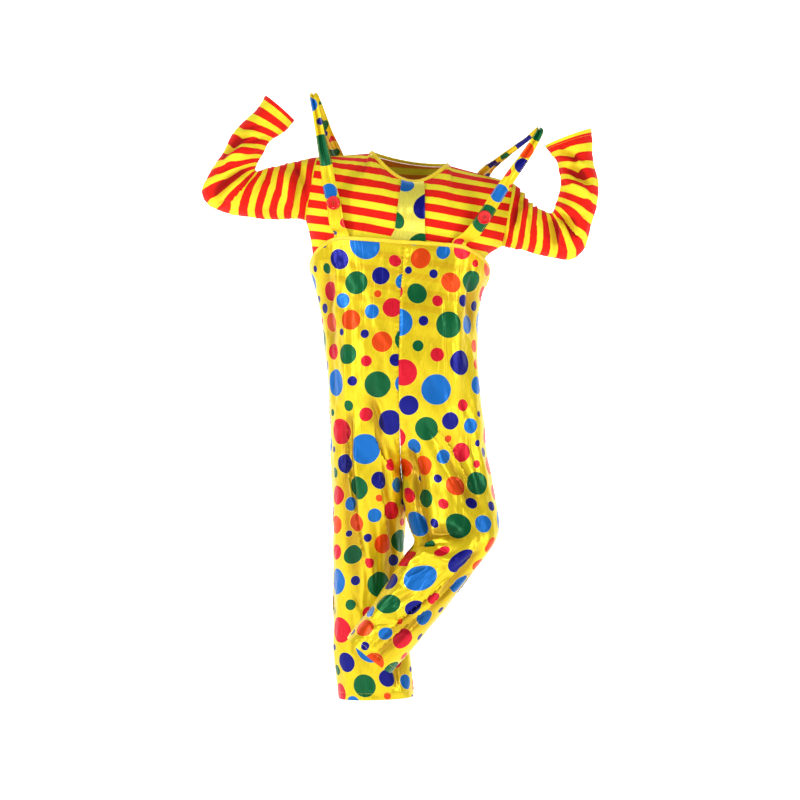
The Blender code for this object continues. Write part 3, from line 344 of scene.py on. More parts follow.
# %% Folds of the dungarees
RIGHT_LEG_FOLDS = [
    (-1, -0.186, -0.215, -0.182, -0.420, 0.004, 0.016, 0.008),
    (-1, -0.206, -0.250, -0.190, -0.460, 0.004, 0.015, -0.010),
    (-1, -0.156, -0.330, -0.154, -0.640, 0.000, 0.018, 0.008),
    (-1, -0.104, -0.520, -0.060, -0.740, 0.000, 0.018, -0.008),
    (-1, -0.158, -0.590, -0.118, -1.090, -0.012, 0.018, -0.012),
    (-1, -0.126, -0.610, -0.076, -1.130, -0.010, 0.020, 0.008),
    (-1, -0.062, -0.650, -0.034, -0.830, 0.000, 0.016, 0.007),
    (-1, -0.046, -0.860, -0.052, -1.120, 0.004, 0.018, -0.008),
    (-1, -0.030, -1.130, -0.026, -1.300, 0.000, 0.018, -0.008),
    (-1, -0.070, -1.140, -0.072, -1.310, 0.000, 0.018, 0.006),
    (1, -0.170, -0.330, -0.150, -0.640, 0.006, 0.020, -0.010),
    (1, -0.110, -0.300, -0.100, -0.700, 0.000, 0.022, 0.009),
    (1, -0.060, -0.660, -0.110, -0.800, 0.006, 0.018, -0.010),
    (1, -0.140, -0.760, -0.128, -1.180, -0.010, 0.020, -0.010),
    (1, -0.090, -0.820, -0.070, -1.240, 0.006, 0.022, 0.009),
    (1, -0.040, -0.900, -0.030, -1.290, 0.000, 0.018, -0.008),
]
LEFT_LEG_FOLDS = [
    (-1, 0.150, -0.285, 0.150, -0.440, 0.000, 0.014, -0.009),
    (-1, 0.105, -0.330, 0.110, -0.600, 0.004, 0.018, 0.008),
    (-1, 0.154, -0.420, 0.172, -0.700, 0.000, 0.018, 0.008),
    (-1, 0.002, -0.690, 0.034, -0.918, 0.006, 0.015, -0.012),
    (-1, 0.000, -0.640, 0.130, -0.830, 0.000, 0.018, 0.008),
    (-1, 0.060, -0.700, 0.170, -0.860, 0.006, 0.018, -0.007),
    (-1, 0.022, -0.922, 0.130, -0.912, 0.012, 0.016, -0.012),
    (-1, 0.014, -0.940, 0.110, -0.966, -0.010, 0.014, 0.010),
    (-1, 0.178, -0.930, 0.044, -1.080, 0.004, 0.013, -0.012),
    (-1, 0.150, -0.925, 0.010, -1.060, 0.000, 0.015, 0.009),
    (-1, 0.060, -1.090, -0.080, -1.180, -0.006, 0.014, -0.009),
    (-1, -0.020, -1.030, -0.100, -1.110, 0.000, 0.014, 0.008),
    (1, 0.140, -0.330, 0.130, -0.620, 0.000, 0.020, -0.010),
    (1, 0.070, -0.300, 0.060, -0.680, 0.006, 0.022, 0.009),
    (1, 0.020, -0.680, 0.080, -0.810, 0.006, 0.018, -0.010),
    (1, 0.150, -0.700, 0.180, -0.880, 0.000, 0.020, 0.008),
    (1, 0.040, -0.910, 0.180, -0.900, 0.010, 0.018, -0.010),
    (1, 0.150, -0.960, 0.000, -1.110, 0.004, 0.016, -0.010),
    (1, 0.080, -0.970, -0.080, -1.120, 0.000, 0.016, 0.009),
]
RIGHT_LEG_CREASES = [
    (-1, -0.152, -0.355, -0.152, -0.636, 0.000, 0.0045, 0.0035),
    (-1, -0.153, -0.648, -0.149, -0.828, 0.001, 0.0050, 0.0040),
    (-1, -0.140, -0.348, -0.142, -0.569, 0.000, 0.0050, -0.0030),
    (-1, -0.094, -0.588, -0.065, -0.677, 0.002, 0.0060, -0.0060),
    (-1, -0.080, -0.583, -0.049, -0.674, 0.001, 0.0055, 0.0035),
    (-1, -0.063, -0.674, -0.032, -0.766, 0.002, 0.0065, -0.0070),
    (-1, -0.046, -0.665, -0.027, -0.751, 0.000, 0.0055, 0.0045),
    (-1, -0.145, -0.617, -0.145, -0.727, 0.000, 0.0060, -0.0060),
    (-1, -0.133, -0.624, -0.130, -0.756, 0.000, 0.0055, 0.0030),
    (-1, -0.149, -0.694, -0.133, -0.881, 0.003, 0.0060, -0.0070),
    (-1, -0.137, -0.698, -0.118, -0.876, 0.002, 0.0060, 0.0045),
    (-1, -0.133, -0.876, -0.101, -1.049, 0.002, 0.0060, -0.0075),
    (-1, -0.118, -0.871, -0.087, -1.044, 0.002, 0.0060, 0.0045),
    (-1, -0.125, -0.756, -0.087, -0.915, 0.003, 0.0050, -0.0040),
    (-1, -0.073, -0.689, -0.046, -0.857, 0.003, 0.0060, -0.0060),
    (-1, -0.049, -0.847, -0.034, -0.972, 0.000, 0.0055, -0.0050),
    (-1, -0.092, -0.823, -0.077, -0.972, 0.002, 0.0050, -0.0035),
    (-1, -0.077, -0.963, -0.080, -1.068, 0.000, 0.0050, -0.0040),
    (-1, -0.111, -0.972, -0.121, -1.164, 0.000, 0.0060, 0.0040),
    (-1, -0.145, -1.049, -0.106, -1.121, 0.000, 0.0055, -0.0035),
    (-1, -0.166, -0.876, -0.154, -1.092, 0.000, 0.0055, 0.0025),
    (-1, -0.034, -1.212, -0.032, -1.296, 0.000, 0.0055, -0.0045),
    (-1, -0.058, -1.231, -0.053, -1.299, 0.000, 0.0055, 0.0030),
    (-1, -0.087, -1.222, -0.097, -1.294, 0.001, 0.0050, -0.0035),
    (-1, -0.140, -1.097, -0.140, -1.212, 0.000, 0.0055, -0.0035),
    (-1, -0.183, -0.257, -0.193, -0.362, 0.002, 0.0050, -0.0050),
    (-1, -0.169, -0.257, -0.173, -0.348, 0.000, 0.0045, 0.0030),
    (-1, -0.092, -0.391, -0.044, -0.473, 0.002, 0.0070, 0.0020),
    (-1, -0.193, -0.420, -0.183, -0.636, 0.000, 0.0055, -0.0030),
    (-1, -0.106, -0.420, -0.111, -0.576, 0.000, 0.0060, 0.0018),
    (1, -0.184, -0.280, -0.176, -0.420, 0.002, 0.0055, -0.0045),
    (1, -0.150, -0.350, -0.142, -0.560, 0.002, 0.0060, 0.0035),
    (1, -0.128, -0.480, -0.120, -0.660, 0.000, 0.0060, -0.0040),
    (1, -0.070, -0.380, -0.066, -0.520, 0.002, 0.0070, 0.0022),
    (1, -0.048, -0.640, -0.092, -0.742, -0.004, 0.0055, -0.0065),
    (1, -0.060, -0.640, -0.104, -0.746, -0.004, 0.0055, 0.0045),
    (1, -0.100, -0.700, -0.152, -0.812, 0.003, 0.0060, -0.0050),
    (1, -0.034, -0.722, -0.084, -0.806, -0.003, 0.0050, -0.0040),
    (1, -0.160, -0.820, -0.140, -1.010, 0.003, 0.0055, -0.0060),
    (1, -0.148, -0.830, -0.126, -1.020, 0.003, 0.0055, 0.0042),
    (1, -0.100, -0.900, -0.104, -1.060, 0.000, 0.0060, -0.0045),
    (1, -0.060, -0.860, -0.050, -1.000, 0.002, 0.0055, -0.0050),
    (1, -0.120, -1.060, -0.136, -1.230, 0.002, 0.0055, -0.0050),
    (1, -0.074, -1.080, -0.062, -1.210, 0.000, 0.0055, 0.0035),
    (1, -0.034, -1.190, -0.044, -1.300, 0.000, 0.0055, -0.0045),
    (1, -0.110, -1.200, -0.100, -1.300, 0.002, 0.0050, 0.0035),
]
LEFT_LEG_CREASES = [
    (-1, 0.074, -0.377, 0.081, -0.593, 0.001, 0.0050, 0.0038),
    (-1, 0.093, -0.382, 0.100, -0.588, 0.000, 0.0050, 0.0028),
    (-1, 0.086, -0.386, 0.091, -0.588, 0.000, 0.0045, -0.0028),
    (-1, 0.148, -0.257, 0.144, -0.396, 0.000, 0.0055, -0.0035),
    (-1, 0.033, -0.636, 0.115, -0.775, 0.003, 0.0060, -0.0050),
    (-1, -0.003, -0.703, 0.019, -0.857, 0.002, 0.0055, -0.0070),
    (-1, 0.009, -0.698, 0.031, -0.847, 0.002, 0.0055, 0.0050),
    (-1, 0.016, -0.847, 0.045, -0.924, 0.001, 0.0050, -0.0070),
    (-1, 0.096, -0.655, 0.120, -0.794, 0.000, 0.0060, 0.0030),
    (-1, 0.153, -0.660, 0.194, -0.823, 0.002, 0.0060, 0.0038),
    (-1, 0.139, -0.665, 0.175, -0.828, 0.002, 0.0060, -0.0030),
    (-1, 0.115, -0.775, 0.144, -0.840, 0.001, 0.0055, -0.0040),
    (-1, -0.015, -0.967, 0.028, -0.941, 0.002, 0.0045, -0.0060),
    (-1, -0.005, -0.979, 0.048, -0.951, 0.002, 0.0045, 0.0045),
    (-1, 0.019, -0.939, 0.081, -0.927, 0.003, 0.0050, -0.0055),
    (-1, -0.010, -1.006, 0.043, -0.977, 0.002, 0.0045, -0.0050),
    (-1, 0.038, -0.919, 0.091, -0.953, -0.003, 0.0050, -0.0045),
    (-1, 0.048, -0.907, 0.100, -0.924, -0.002, 0.0045, 0.0035),
    (-1, -0.044, -1.075, 0.021, -1.039, 0.002, 0.0050, -0.0055),
    (-1, -0.034, -1.092, 0.033, -1.049, 0.002, 0.0045, 0.0040),
    (-1, -0.034, -1.109, 0.026, -1.073, 0.001, 0.0050, -0.0060),
    (-1, 0.024, -1.073, 0.100, -0.989, 0.002, 0.0050, -0.0060),
    (-1, 0.033, -1.087, 0.115, -0.991, 0.002, 0.0045, 0.0040),
    (-1, 0.096, -0.991, 0.170, -0.948, 0.001, 0.0050, -0.0045),
    (-1, -0.092, -1.121, -0.029, -1.119, 0.003, 0.0050, -0.0050),
    (-1, -0.034, -1.121, 0.036, -1.063, 0.001, 0.0050, -0.0050),
    (-1, -0.082, -1.205, -0.008, -1.143, 0.002, 0.0050, -0.0055),
    (-1, -0.092, -1.183, -0.020, -1.131, 0.002, 0.0050, 0.0040),
    (-1, -0.010, -1.145, 0.052, -1.087, 0.001, 0.0050, -0.0055),
    (-1, 0.048, -1.090, 0.151, -0.996, 0.002, 0.0050, -0.0050),
    (-1, -0.125, -1.145, -0.092, -1.179, 0.000, 0.0045, 0.0030),
    (-1, -0.111, -1.097, -0.077, -1.140, 0.001, 0.0045, -0.0035),
    (-1, 0.124, -0.840, 0.163, -0.900, 0.002, 0.0055, 0.0030),
    (-1, -0.015, -0.348, -0.015, -0.473, 0.000, 0.0060, 0.0018),
    (-1, 0.182, -0.660, 0.201, -0.756, 0.001, 0.0050, -0.0030),
    (-1, 0.036, -0.257, 0.124, -0.348, 0.004, 0.0080, 0.0018),
    (1, 0.128, -0.340, 0.132, -0.470, 0.002, 0.0055, -0.0042),
    (1, 0.100, -0.420, 0.096, -0.600, 0.000, 0.0060, 0.0034),
    (1, 0.052, -0.390, 0.044, -0.560, 0.002, 0.0065, -0.0030),
    (1, 0.012, -0.640, 0.060, -0.746, 0.004, 0.0055, -0.0065),
    (1, 0.026, -0.636, 0.074, -0.744, 0.004, 0.0055, 0.0045),
    (1, 0.120, -0.650, 0.150, -0.790, 0.002, 0.0060, -0.0045),
    (1, 0.092, -0.760, 0.150, -0.868, 0.003, 0.0055, -0.0050),
    (1, 0.060, -0.880, 0.160, -0.868, 0.004, 0.0050, -0.0050),
    (1, 0.050, -0.898, 0.150, -0.886, 0.004, 0.0050, 0.0040),
    (1, 0.178, -0.900, 0.100, -0.980, 0.003, 0.0050, -0.0055),
    (1, 0.150, -0.930, 0.060, -1.010, 0.003, 0.0050, 0.0042),
    (1, 0.110, -1.010, 0.010, -1.090, 0.002, 0.0055, -0.0055),
    (1, 0.040, -1.020, -0.040, -1.080, 0.002, 0.0050, -0.0045),
    (1, 0.020, -1.100, -0.060, -1.160, 0.002, 0.0050, 0.0038),
    (1, -0.010, -1.130, -0.090, -1.170, 0.002, 0.0050, -0.0050),
]

# %% Folds of the shirt
RIGHT_SLEEVE_FOLDS = [
    (-1, -0.380, -0.038, -0.470, -0.112, -0.008, 0.012, -0.012),
    (-1, -0.376, -0.068, -0.440, -0.124, -0.006, 0.012, 0.007),
    (-1, -0.378, 0.043, -0.454, -0.010, -0.008, 0.012, -0.010),
    (-1, -0.372, 0.020, -0.440, -0.030, -0.006, 0.013, 0.007),
    (-1, -0.284, -0.010, -0.242, -0.110, 0.010, 0.013, -0.009),
    (-1, -0.310, -0.030, -0.290, -0.130, 0.006, 0.014, 0.006),
    (1, -0.380, -0.040, -0.460, -0.100, -0.008, 0.014, -0.012),
    (1, -0.370, 0.010, -0.460, -0.040, -0.008, 0.014, -0.010),
    (1, -0.300, -0.010, -0.280, -0.120, 0.006, 0.014, -0.009),
]
LEFT_SLEEVE_FOLDS = [
    (-1, 0.344, -0.144, 0.400, -0.200, 0.006, 0.012, -0.012),
    (-1, 0.350, -0.128, 0.412, -0.150, 0.006, 0.012, 0.007),
    (-1, 0.332, -0.150, 0.342, -0.220, 0.004, 0.012, -0.010),
    (-1, 0.372, -0.030, 0.430, -0.078, 0.004, 0.012, -0.012),
    (-1, 0.368, -0.072, 0.434, -0.114, 0.004, 0.013, 0.008),
    (-1, 0.352, 0.004, 0.400, -0.018, 0.004, 0.011, -0.008),
    (-1, 0.272, -0.096, 0.250, -0.180, -0.008, 0.013, -0.009),
    (1, 0.350, -0.140, 0.410, -0.190, 0.006, 0.014, -0.012),
    (1, 0.364, -0.060, 0.440, -0.090, 0.004, 0.014, -0.010),
    (1, 0.280, -0.110, 0.270, -0.200, 0.004, 0.014, -0.009),
]
RIGHT_SLEEVE_CREASES = [
    (-1, -0.373, -0.042, -0.429, -0.107, 0.003, 0.0045, -0.0050),
    (-1, -0.364, -0.054, -0.414, -0.117, 0.003, 0.0045, 0.0035),
    (-1, -0.429, -0.107, -0.472, -0.126, 0.002, 0.0045, -0.0045),
    (-1, -0.380, -0.073, -0.438, -0.129, 0.002, 0.0045, -0.0035),
    (-1, -0.335, 0.040, -0.402, 0.020, 0.002, 0.0045, -0.0050),
    (-1, -0.342, 0.020, -0.409, -0.001, 0.002, 0.0045, 0.0035),
    (-1, -0.402, 0.020, -0.438, 0.001, 0.001, 0.0045, -0.0040),
    (-1, -0.356, 0.066, -0.414, 0.061, 0.001, 0.0045, -0.0030),
    (-1, -0.265, -0.049, -0.284, -0.119, 0.002, 0.0050, -0.0035),
    (-1, -0.251, -0.059, -0.265, -0.141, 0.001, 0.0045, 0.0025),
    (-1, -0.301, -0.040, -0.323, -0.097, 0.001, 0.0050, -0.0025),
    (-1, -0.342, -0.035, -0.371, -0.097, 0.002, 0.0045, -0.0030),
    (-1, -0.453, -0.054, -0.486, -0.073, 0.001, 0.0045, 0.0030),
    (-1, -0.409, -0.023, -0.462, -0.049, 0.002, 0.0045, -0.0035),
    (1, -0.372, -0.050, -0.440, -0.116, 0.003, 0.0045, -0.0050),
    (1, -0.366, -0.034, -0.452, -0.074, 0.003, 0.0045, -0.0045),
    (1, -0.364, -0.020, -0.450, -0.058, 0.003, 0.0045, 0.0035),
    (1, -0.344, 0.026, -0.424, 0.012, 0.002, 0.0045, -0.0042),
    (1, -0.320, 0.074, -0.388, 0.084, 0.002, 0.0045, -0.0030),
    (1, -0.274, -0.040, -0.286, -0.116, 0.002, 0.0050, -0.0032),
    (1, -0.330, -0.048, -0.350, -0.120, 0.002, 0.0050, -0.0028),
]
LEFT_SLEEVE_CREASES = [
    (-1, 0.334, -0.138, 0.343, -0.246, 0.002, 0.0045, -0.0050),
    (-1, 0.343, -0.136, 0.365, -0.242, 0.001, 0.0045, 0.0035),
    (-1, 0.351, -0.131, 0.392, -0.232, 0.001, 0.0045, -0.0045),
    (-1, 0.356, -0.126, 0.408, -0.213, 0.001, 0.0045, 0.0030),
    (-1, 0.360, -0.114, 0.432, -0.170, 0.002, 0.0045, -0.0040),
    (-1, 0.363, -0.035, 0.408, -0.073, 0.002, 0.0045, -0.0050),
    (-1, 0.360, -0.054, 0.404, -0.093, 0.002, 0.0045, 0.0035),
    (-1, 0.408, -0.073, 0.432, -0.102, 0.001, 0.0045, -0.0040),
    (-1, 0.360, -0.083, 0.428, -0.121, 0.002, 0.0045, -0.0030),
    (-1, 0.245, -0.097, 0.230, -0.165, 0.001, 0.0050, -0.0035),
    (-1, 0.259, -0.102, 0.250, -0.184, 0.001, 0.0045, 0.0025),
    (-1, 0.288, -0.126, 0.281, -0.203, 0.001, 0.0045, -0.0028),
    (-1, 0.307, -0.136, 0.307, -0.218, 0.001, 0.0045, 0.0022),
    (-1, 0.370, -0.001, 0.418, -0.020, 0.001, 0.0045, -0.0028),
    (1, 0.340, -0.140, 0.370, -0.226, 0.002, 0.0045, -0.0050),
    (1, 0.356, -0.124, 0.426, -0.168, 0.002, 0.0045, -0.0045),
    (1, 0.354, -0.110, 0.430, -0.146, 0.002, 0.0045, 0.0035),
    (1, 0.360, -0.030, 0.440, -0.046, 0.002, 0.0045, -0.0042),
    (1, 0.346, 0.030, 0.420, 0.048, 0.001, 0.0045, -0.0028),
    (1, 0.262, -0.104, 0.258, -0.180, 0.001, 0.0050, -0.0032),
]
SHIRT_CREASES = [
    (-1, -0.212, -0.035, -0.193, -0.119, 0.002, 0.0060, -0.0030),
    (-1, -0.157, -0.035, -0.092, -0.064, 0.002, 0.0070, 0.0018),
    (-1, -0.145, -0.107, -0.044, -0.121, 0.002, 0.0080, 0.0015),
    (-1, -0.217, -0.131, -0.178, -0.184, 0.001, 0.0060, -0.0030),
    (-1, 0.048, -0.097, 0.144, -0.083, 0.002, 0.0080, 0.0015),
    (-1, 0.144, -0.136, 0.163, -0.189, 0.001, 0.0060, -0.0025),
    (-1, 0.216, -0.078, 0.192, -0.160, 0.002, 0.0060, -0.0030),
    (-1, 0.062, -0.160, 0.125, -0.184, 0.001, 0.0070, -0.0018),
    (-1, -0.140, -0.150, -0.053, -0.184, 0.002, 0.0080, -0.0018),
    (1, -0.200, -0.050, -0.176, -0.150, 0.002, 0.0060, -0.0030),
    (1, -0.120, -0.060, -0.040, -0.090, 0.002, 0.0080, 0.0018),
    (1, -0.130, -0.130, -0.020, -0.160, 0.004, 0.0080, -0.0020),
    (1, 0.020, -0.110, 0.130, -0.120, 0.003, 0.0080, 0.0018),
    (1, 0.040, -0.170, 0.140, -0.190, 0.002, 0.0070, -0.0020),
    (1, 0.196, -0.080, 0.170, -0.170, 0.002, 0.0060, -0.0030),
]
leg_tables = (RIGHT_LEG_FOLDS, LEFT_LEG_FOLDS, RIGHT_LEG_CREASES, LEFT_LEG_CREASES)
print("folds on the legs, large and small:", sum(len(table) for table in leg_tables))

# %% [markdown]
# ## How the cloth gets its shape
#
# A worn garment is a row of sections: the right leg, say, is a ring at every height. Each row of a
# table names the two ends of one section as seen from the front, and how far it reaches to the front and the
# back. A smooth curve through the rows then gives a section at any height. That makes the whole panel one
# function of two numbers, the share of the way round and the row, which numpy works out for a grid at once.


# %% Sections from a table
def along(table, row):
    """The table's columns at a fractional row, on a smooth curve through its rows (a Catmull-Rom spline)."""
    values = np.asarray(table, float)
    values = np.concatenate([2 * values[:1] - values[1:2], values, 2 * values[-1:] - values[-2:-1]])
    place = np.clip(row, 0, len(table) - 1)
    start = np.minimum(place.astype(int), len(table) - 2)
    share = (place - start)[..., None]
    before, first, second, after = (values[start + k] for k in range(4))
    slope_in, slope_out = (second - before) / 2, (after - first) / 2
    return (
        first
        + share * slope_in
        + share**2 * (3 * (second - first) - 2 * slope_in - slope_out)
        + share**3 * (2 * (first - second) + slope_in + slope_out)
    )


def rounded(angle, squareness):
    """A point on the unit superellipse at an angle: 2 is a circle, and more is squarer."""
    reach = (np.abs(np.cos(angle)) ** squareness + np.abs(np.sin(angle)) ** squareness) ** (-1 / squareness)
    return reach * np.cos(angle), reach * np.sin(angle)


def section_point(columns, share, squareness):
    """Points of the sections in columns. share is 0 at the outer end, 1 at the inner end by the front, and -1
    by the back. An open section is a quarter round that ends at the middle seam, and a closed one a half
    round. Between them, the end at the middle seam is pinched back, so that the seam curves under to the
    crotch."""
    outer_x, outer_z, inner_x, inner_z, middle_y, front, back, closed = columns
    closed = np.clip(closed, 0, 1)
    pinch = np.clip((closed - CROTCH_START) / (CROTCH - CROTCH_START), 0, 1) ** 1.5
    turn = np.abs(share) * math.pi
    open_reach, open_depth = rounded(turn / 2, squareness)
    ring_reach, ring_depth = rounded(turn, squareness)
    reach = (1 - closed) * open_reach + closed * (1 + ring_reach) / 2
    depth = (1 - closed) * open_depth * (1 - pinch * np.abs(share) ** 9) + closed * ring_depth
    x = inner_x + (outer_x - inner_x) * reach
    y = middle_y + np.where(share >= 0, -front, back) * depth
    z = inner_z + (outer_z - inner_z) * reach
    return np.stack([x, y, z], -1)


def leg(table, share, row):
    """A point of one half of the dungarees."""
    share, row = np.broadcast_arrays(share, row)
    return section_point(np.moveaxis(along(table, row), -1, 0), share, ROUNDNESS)


def tube(table, share, row, squareness=2.0):
    """A point of a sleeve, or of the shirt's body, whose sections are all full rings."""
    share, row = np.broadcast_arrays(share, row)
    columns = np.moveaxis(along(table, row), -1, 0)
    return section_point([*columns, np.ones_like(columns[0])], share, squareness)


# %% Directions, lengths and creases
STEP = 1e-3  # how far apart the points are whose difference gives a slope


def unit(vector):
    """The vectors, each made one long."""
    return vector / np.linalg.norm(vector, axis=-1, keepdims=True)


def outward(surface, share, row, sign):
    """The surface's outward direction, from its slopes along both parameters."""
    across = surface(share + STEP, row) - surface(share - STEP, row)
    down = surface(share, row + STEP) - surface(share, row - STEP)
    return sign * unit(np.cross(across, down))


def facing(points, sign, ring=False):
    """Outward directions of a grid of points, from the differences between its neighbours."""
    across = np.roll(points, -1, 1) - np.roll(points, 1, 1) if ring else np.gradient(points, axis=1)
    return sign * unit(np.cross(across, np.gradient(points, axis=0)))


def arc(points, axis):
    """The distance run along a grid, down its rows (axis 0) or across its columns (axis 1)."""
    step = np.linalg.norm(np.diff(points, axis=axis), axis=-1)
    return np.concatenate([np.zeros_like(np.take(step, [0], axis)), np.cumsum(step, axis)], axis)


def crowded(count, pull=0.6):
    """Places from 0 to 1 that lie closer together at both ends, where the seams and hems need detail."""
    place = np.linspace(0, 1, count)
    return place - pull * np.sin(2 * math.pi * place) / (2 * math.pi)


def beside_line(point, ends, bow):
    """For a line in the front view that bows to its left between two ends: each point's share of the way
    along it, its way from the line's nearest point, and the direction to the left."""
    start_x, start_z, end_x, end_z = ends
    run = np.array([end_x - start_x, end_z - start_z])
    left = np.array([-run[1], run[0]]) / np.linalg.norm(run)
    seen = point[..., [0, 2]] - (start_x, start_z)
    share = np.clip((seen @ run) / (run @ run), 0, 1)
    bowed = 4 * bow * share * (1 - share)
    return share, seen - share[..., None] * run - bowed[..., None] * left, left


def folded(point, normal, folds):
    """The points moved along their normals by the folds, and how far: each is a soft ridge or trough along a
    bowed line, with a bell-shaped section, fading at its two ends and on the other face."""
    lift = np.zeros(point.shape[:-1])
    for face, *ends, bow, half_width, height in folds:
        share, away, _ = beside_line(point, ends, bow)
        distance = np.linalg.norm(away, axis=-1) / half_width
        turned = np.clip(1.6 * face * normal[..., 1], 0, 1)
        lift += height * np.exp(-(distance**2)) * np.sin(math.pi * share) ** 0.7 * turned
    return point + normal * lift[..., None], lift


def tucked(point, normal, side, tucks):
    """How far tucks lift the cloth, and how much of it they hide from the side seam up to each point. A tuck
    lies over its neighbour, so one side of its line is raised and ends in a sharp edge beside a trough."""
    lift, hidden = np.zeros(point.shape[:-1]), np.zeros(point.shape[:-1])
    for *ends, bow, reach, height, taken in tucks:
        share, away, left = beside_line(point, ends, bow)
        away = away @ left
        shown = np.sin(math.pi * share) ** 0.6 * np.clip(-1.6 * normal[..., 1], 0, 1)
        lift += shown * height * np.where(away > 0, 1.0, -0.9) * np.exp(-np.abs(away) / reach)
        hidden += shown * taken * (away * side * left[0] < 0)
    return lift, hidden


def ripples(across, down, seed, height, shortest=0.045, longest=0.15, lean=0.5):
    """Soft unevenness: ten sine waves of seeded length and direction, mostly running down the cloth."""
    draw = np.random.default_rng(seed)
    total = 0
    for _ in range(10):
        wave, turn, start = draw.uniform(shortest, longest), draw.normal(0, lean), draw.uniform(0, 6.28)
        total = total + np.sin(2 * math.pi * (across * math.cos(turn) + down * math.sin(turn)) / wave + start)
    return height * total / math.sqrt(10)


def seam_relief(distance, run, depth=0.0014, pucker=0.0006):
    """How the cloth lies beside a seam: drawn in along the thread, with small puckers that fade beside it."""
    drawn = -depth * np.exp(-((distance / 0.004) ** 2))
    wave = np.sin(2 * math.pi * run / 0.013 + 1.7 * np.sin(run / 0.031))
    return drawn + pucker * wave * np.exp(-((distance / 0.012) ** 2))


def fading(distance, reach):
    """Rises smoothly from 0 at no distance to 1 at the reach."""
    share = np.clip(distance / reach, 0, 1)
    return share * share * (3 - 2 * share)


# %% [markdown]
# ## From a grid of points to a piece of cloth
#
# Cloth has two faces, so each piece is a closed thin wall: the outer grid, the same grid one thickness behind
# it, and rims that join them. Solidify could make the wall, but here the seams need their rims at exact
# places. The UV map is the flat cut of the piece in metres, so a printed dot is as large on the cloth as on
# the roll. An attribute keeps how deep each point lies in a crease or beside a seam, and the finish darkens
# the colour by it: painted shade in the troughs.


# %% Cloth walls
DRAWN_CLOTH = 0.0011  # the thickness of the satin and the jersey here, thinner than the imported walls
DRAWN_PLACKET = 0.0009
DRAWN_STRAP = 0.0012
sewn = {}  # every piece's outer grid and its directions, for the stitches


def ringed(grid):
    """The grid with its first column once more after its last."""
    return np.concatenate([grid, grid[:, :1]], 1)


def quads(index):
    """The four-sided faces of a grid of point numbers."""
    corners = (index[:-1, :-1], index[1:, :-1], index[1:, 1:], index[:-1, 1:])
    return np.stack(corners, -1).reshape(-1, 4)


def wall_faces(front, behind, ring, sign):
    """Faces of a closed wall between two grids of point numbers, all facing out of it."""
    parts = [quads(front), quads(behind)[:, ::-1]]
    edges = [(front[0], behind[0]), (front[-1, ::-1], behind[-1, ::-1])]
    if not ring:
        edges += [(front[::-1, 0], behind[::-1, 0]), (front[:, -1], behind[:, -1])]
    for near, far in edges:
        parts.append(np.stack([near[:-1], near[1:], far[1:], far[:-1]], -1))
    faces = np.concatenate(parts)
    return faces[:, ::-1] if sign > 0 else faces


def mesh_piece(name, points, faces, finishes, uv=None, uv_faces=None, inside=None, crease=None, sharp=62):
    """A smooth-shaded mesh object that rides with the costume, with its UV map and second finish if given."""
    mesh = bpy.data.meshes.new(name)
    mesh.from_pydata(points.tolist(), [], faces.tolist() if isinstance(faces, np.ndarray) else faces)
    for finish in finishes:
        mesh.materials.append(finish)
    if uv is not None:
        layer = mesh.uv_layers.new(name="cut")
        layer.data.foreach_set("uv", uv.reshape(-1, 2)[uv_faces.reshape(-1)].astype(np.float32).ravel())
    if inside is not None:
        mesh.polygons.foreach_set("material_index", inside.astype(np.int32))
    if crease is not None:
        depth = mesh.attributes.new("crease", "FLOAT", "POINT")
        depth.data.foreach_set("value", crease.astype(np.float32).ravel())
    mesh.shade_smooth()
    mesh.set_sharp_from_angle(angle=math.radians(sharp))
    made = placed(name, mesh)
    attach(made, "root")
    return made


def cloth(name, outer, uv, finishes, sign, ring=False, normal=None, lift=None, thickness=DRAWN_CLOTH):
    """A piece of cloth from its outer grid. A ring joins its last column to its first, and its UV grid has
    one column more, for the cut's other edge."""
    rows, columns = outer.shape[:2]
    normal = facing(outer, sign, ring) if normal is None else normal
    front = np.arange(rows * columns).reshape(rows, columns)
    flat = np.arange(rows * uv.shape[1]).reshape(rows, -1)
    if ring:
        front = ringed(front)
    faces = wall_faces(front, front + rows * columns, ring, sign)
    uv_faces = wall_faces(flat, flat, ring, sign)
    each = (rows - 1) * (front.shape[1] - 1)
    inside = np.zeros(len(faces))
    inside[each : 2 * each] = 1
    points = np.concatenate([outer.reshape(-1, 3), (outer - normal * thickness).reshape(-1, 3)])
    depth = np.zeros(rows * columns) if lift is None else lift.ravel()
    crease = np.concatenate([depth, depth])
    sewn[name] = (outer, normal)
    return mesh_piece(name, points, faces, finishes, uv, uv_faces, inside, crease)


def flat_area(points, ring=False):
    """The area of a grid of points, as if its creases were ironed out."""
    if ring:
        points = ringed(points)
    across, down = np.diff(points, axis=1)[:-1], np.diff(points, axis=0)[:, :-1]
    return float(np.linalg.norm(np.cross(across, down), axis=-1).sum())


def declare(piece, base, ring=False):
    """Says what the piece was cut to: the widest and the longest run of its smooth grid, and its area."""
    closed = ringed(base) if ring else base
    width, length = float(arc(closed, 1)[:, -1].max()), float(arc(closed, 0)[-1].max())
    area = min(flat_area(base, ring), width * length)
    print(f"{piece.name}: cut {width * 1000:.0f} x {length * 1000:.0f} mm, {area:.3f} m2")


def set_print(uv, points, at):
    """The UV grid moved so that the print starts at the point nearest to a place in the front view."""
    distance = np.hypot(points[..., 0] - at[0], points[..., 2] - at[1])
    return uv - uv[np.unravel_index(distance.argmin(), distance.shape)]
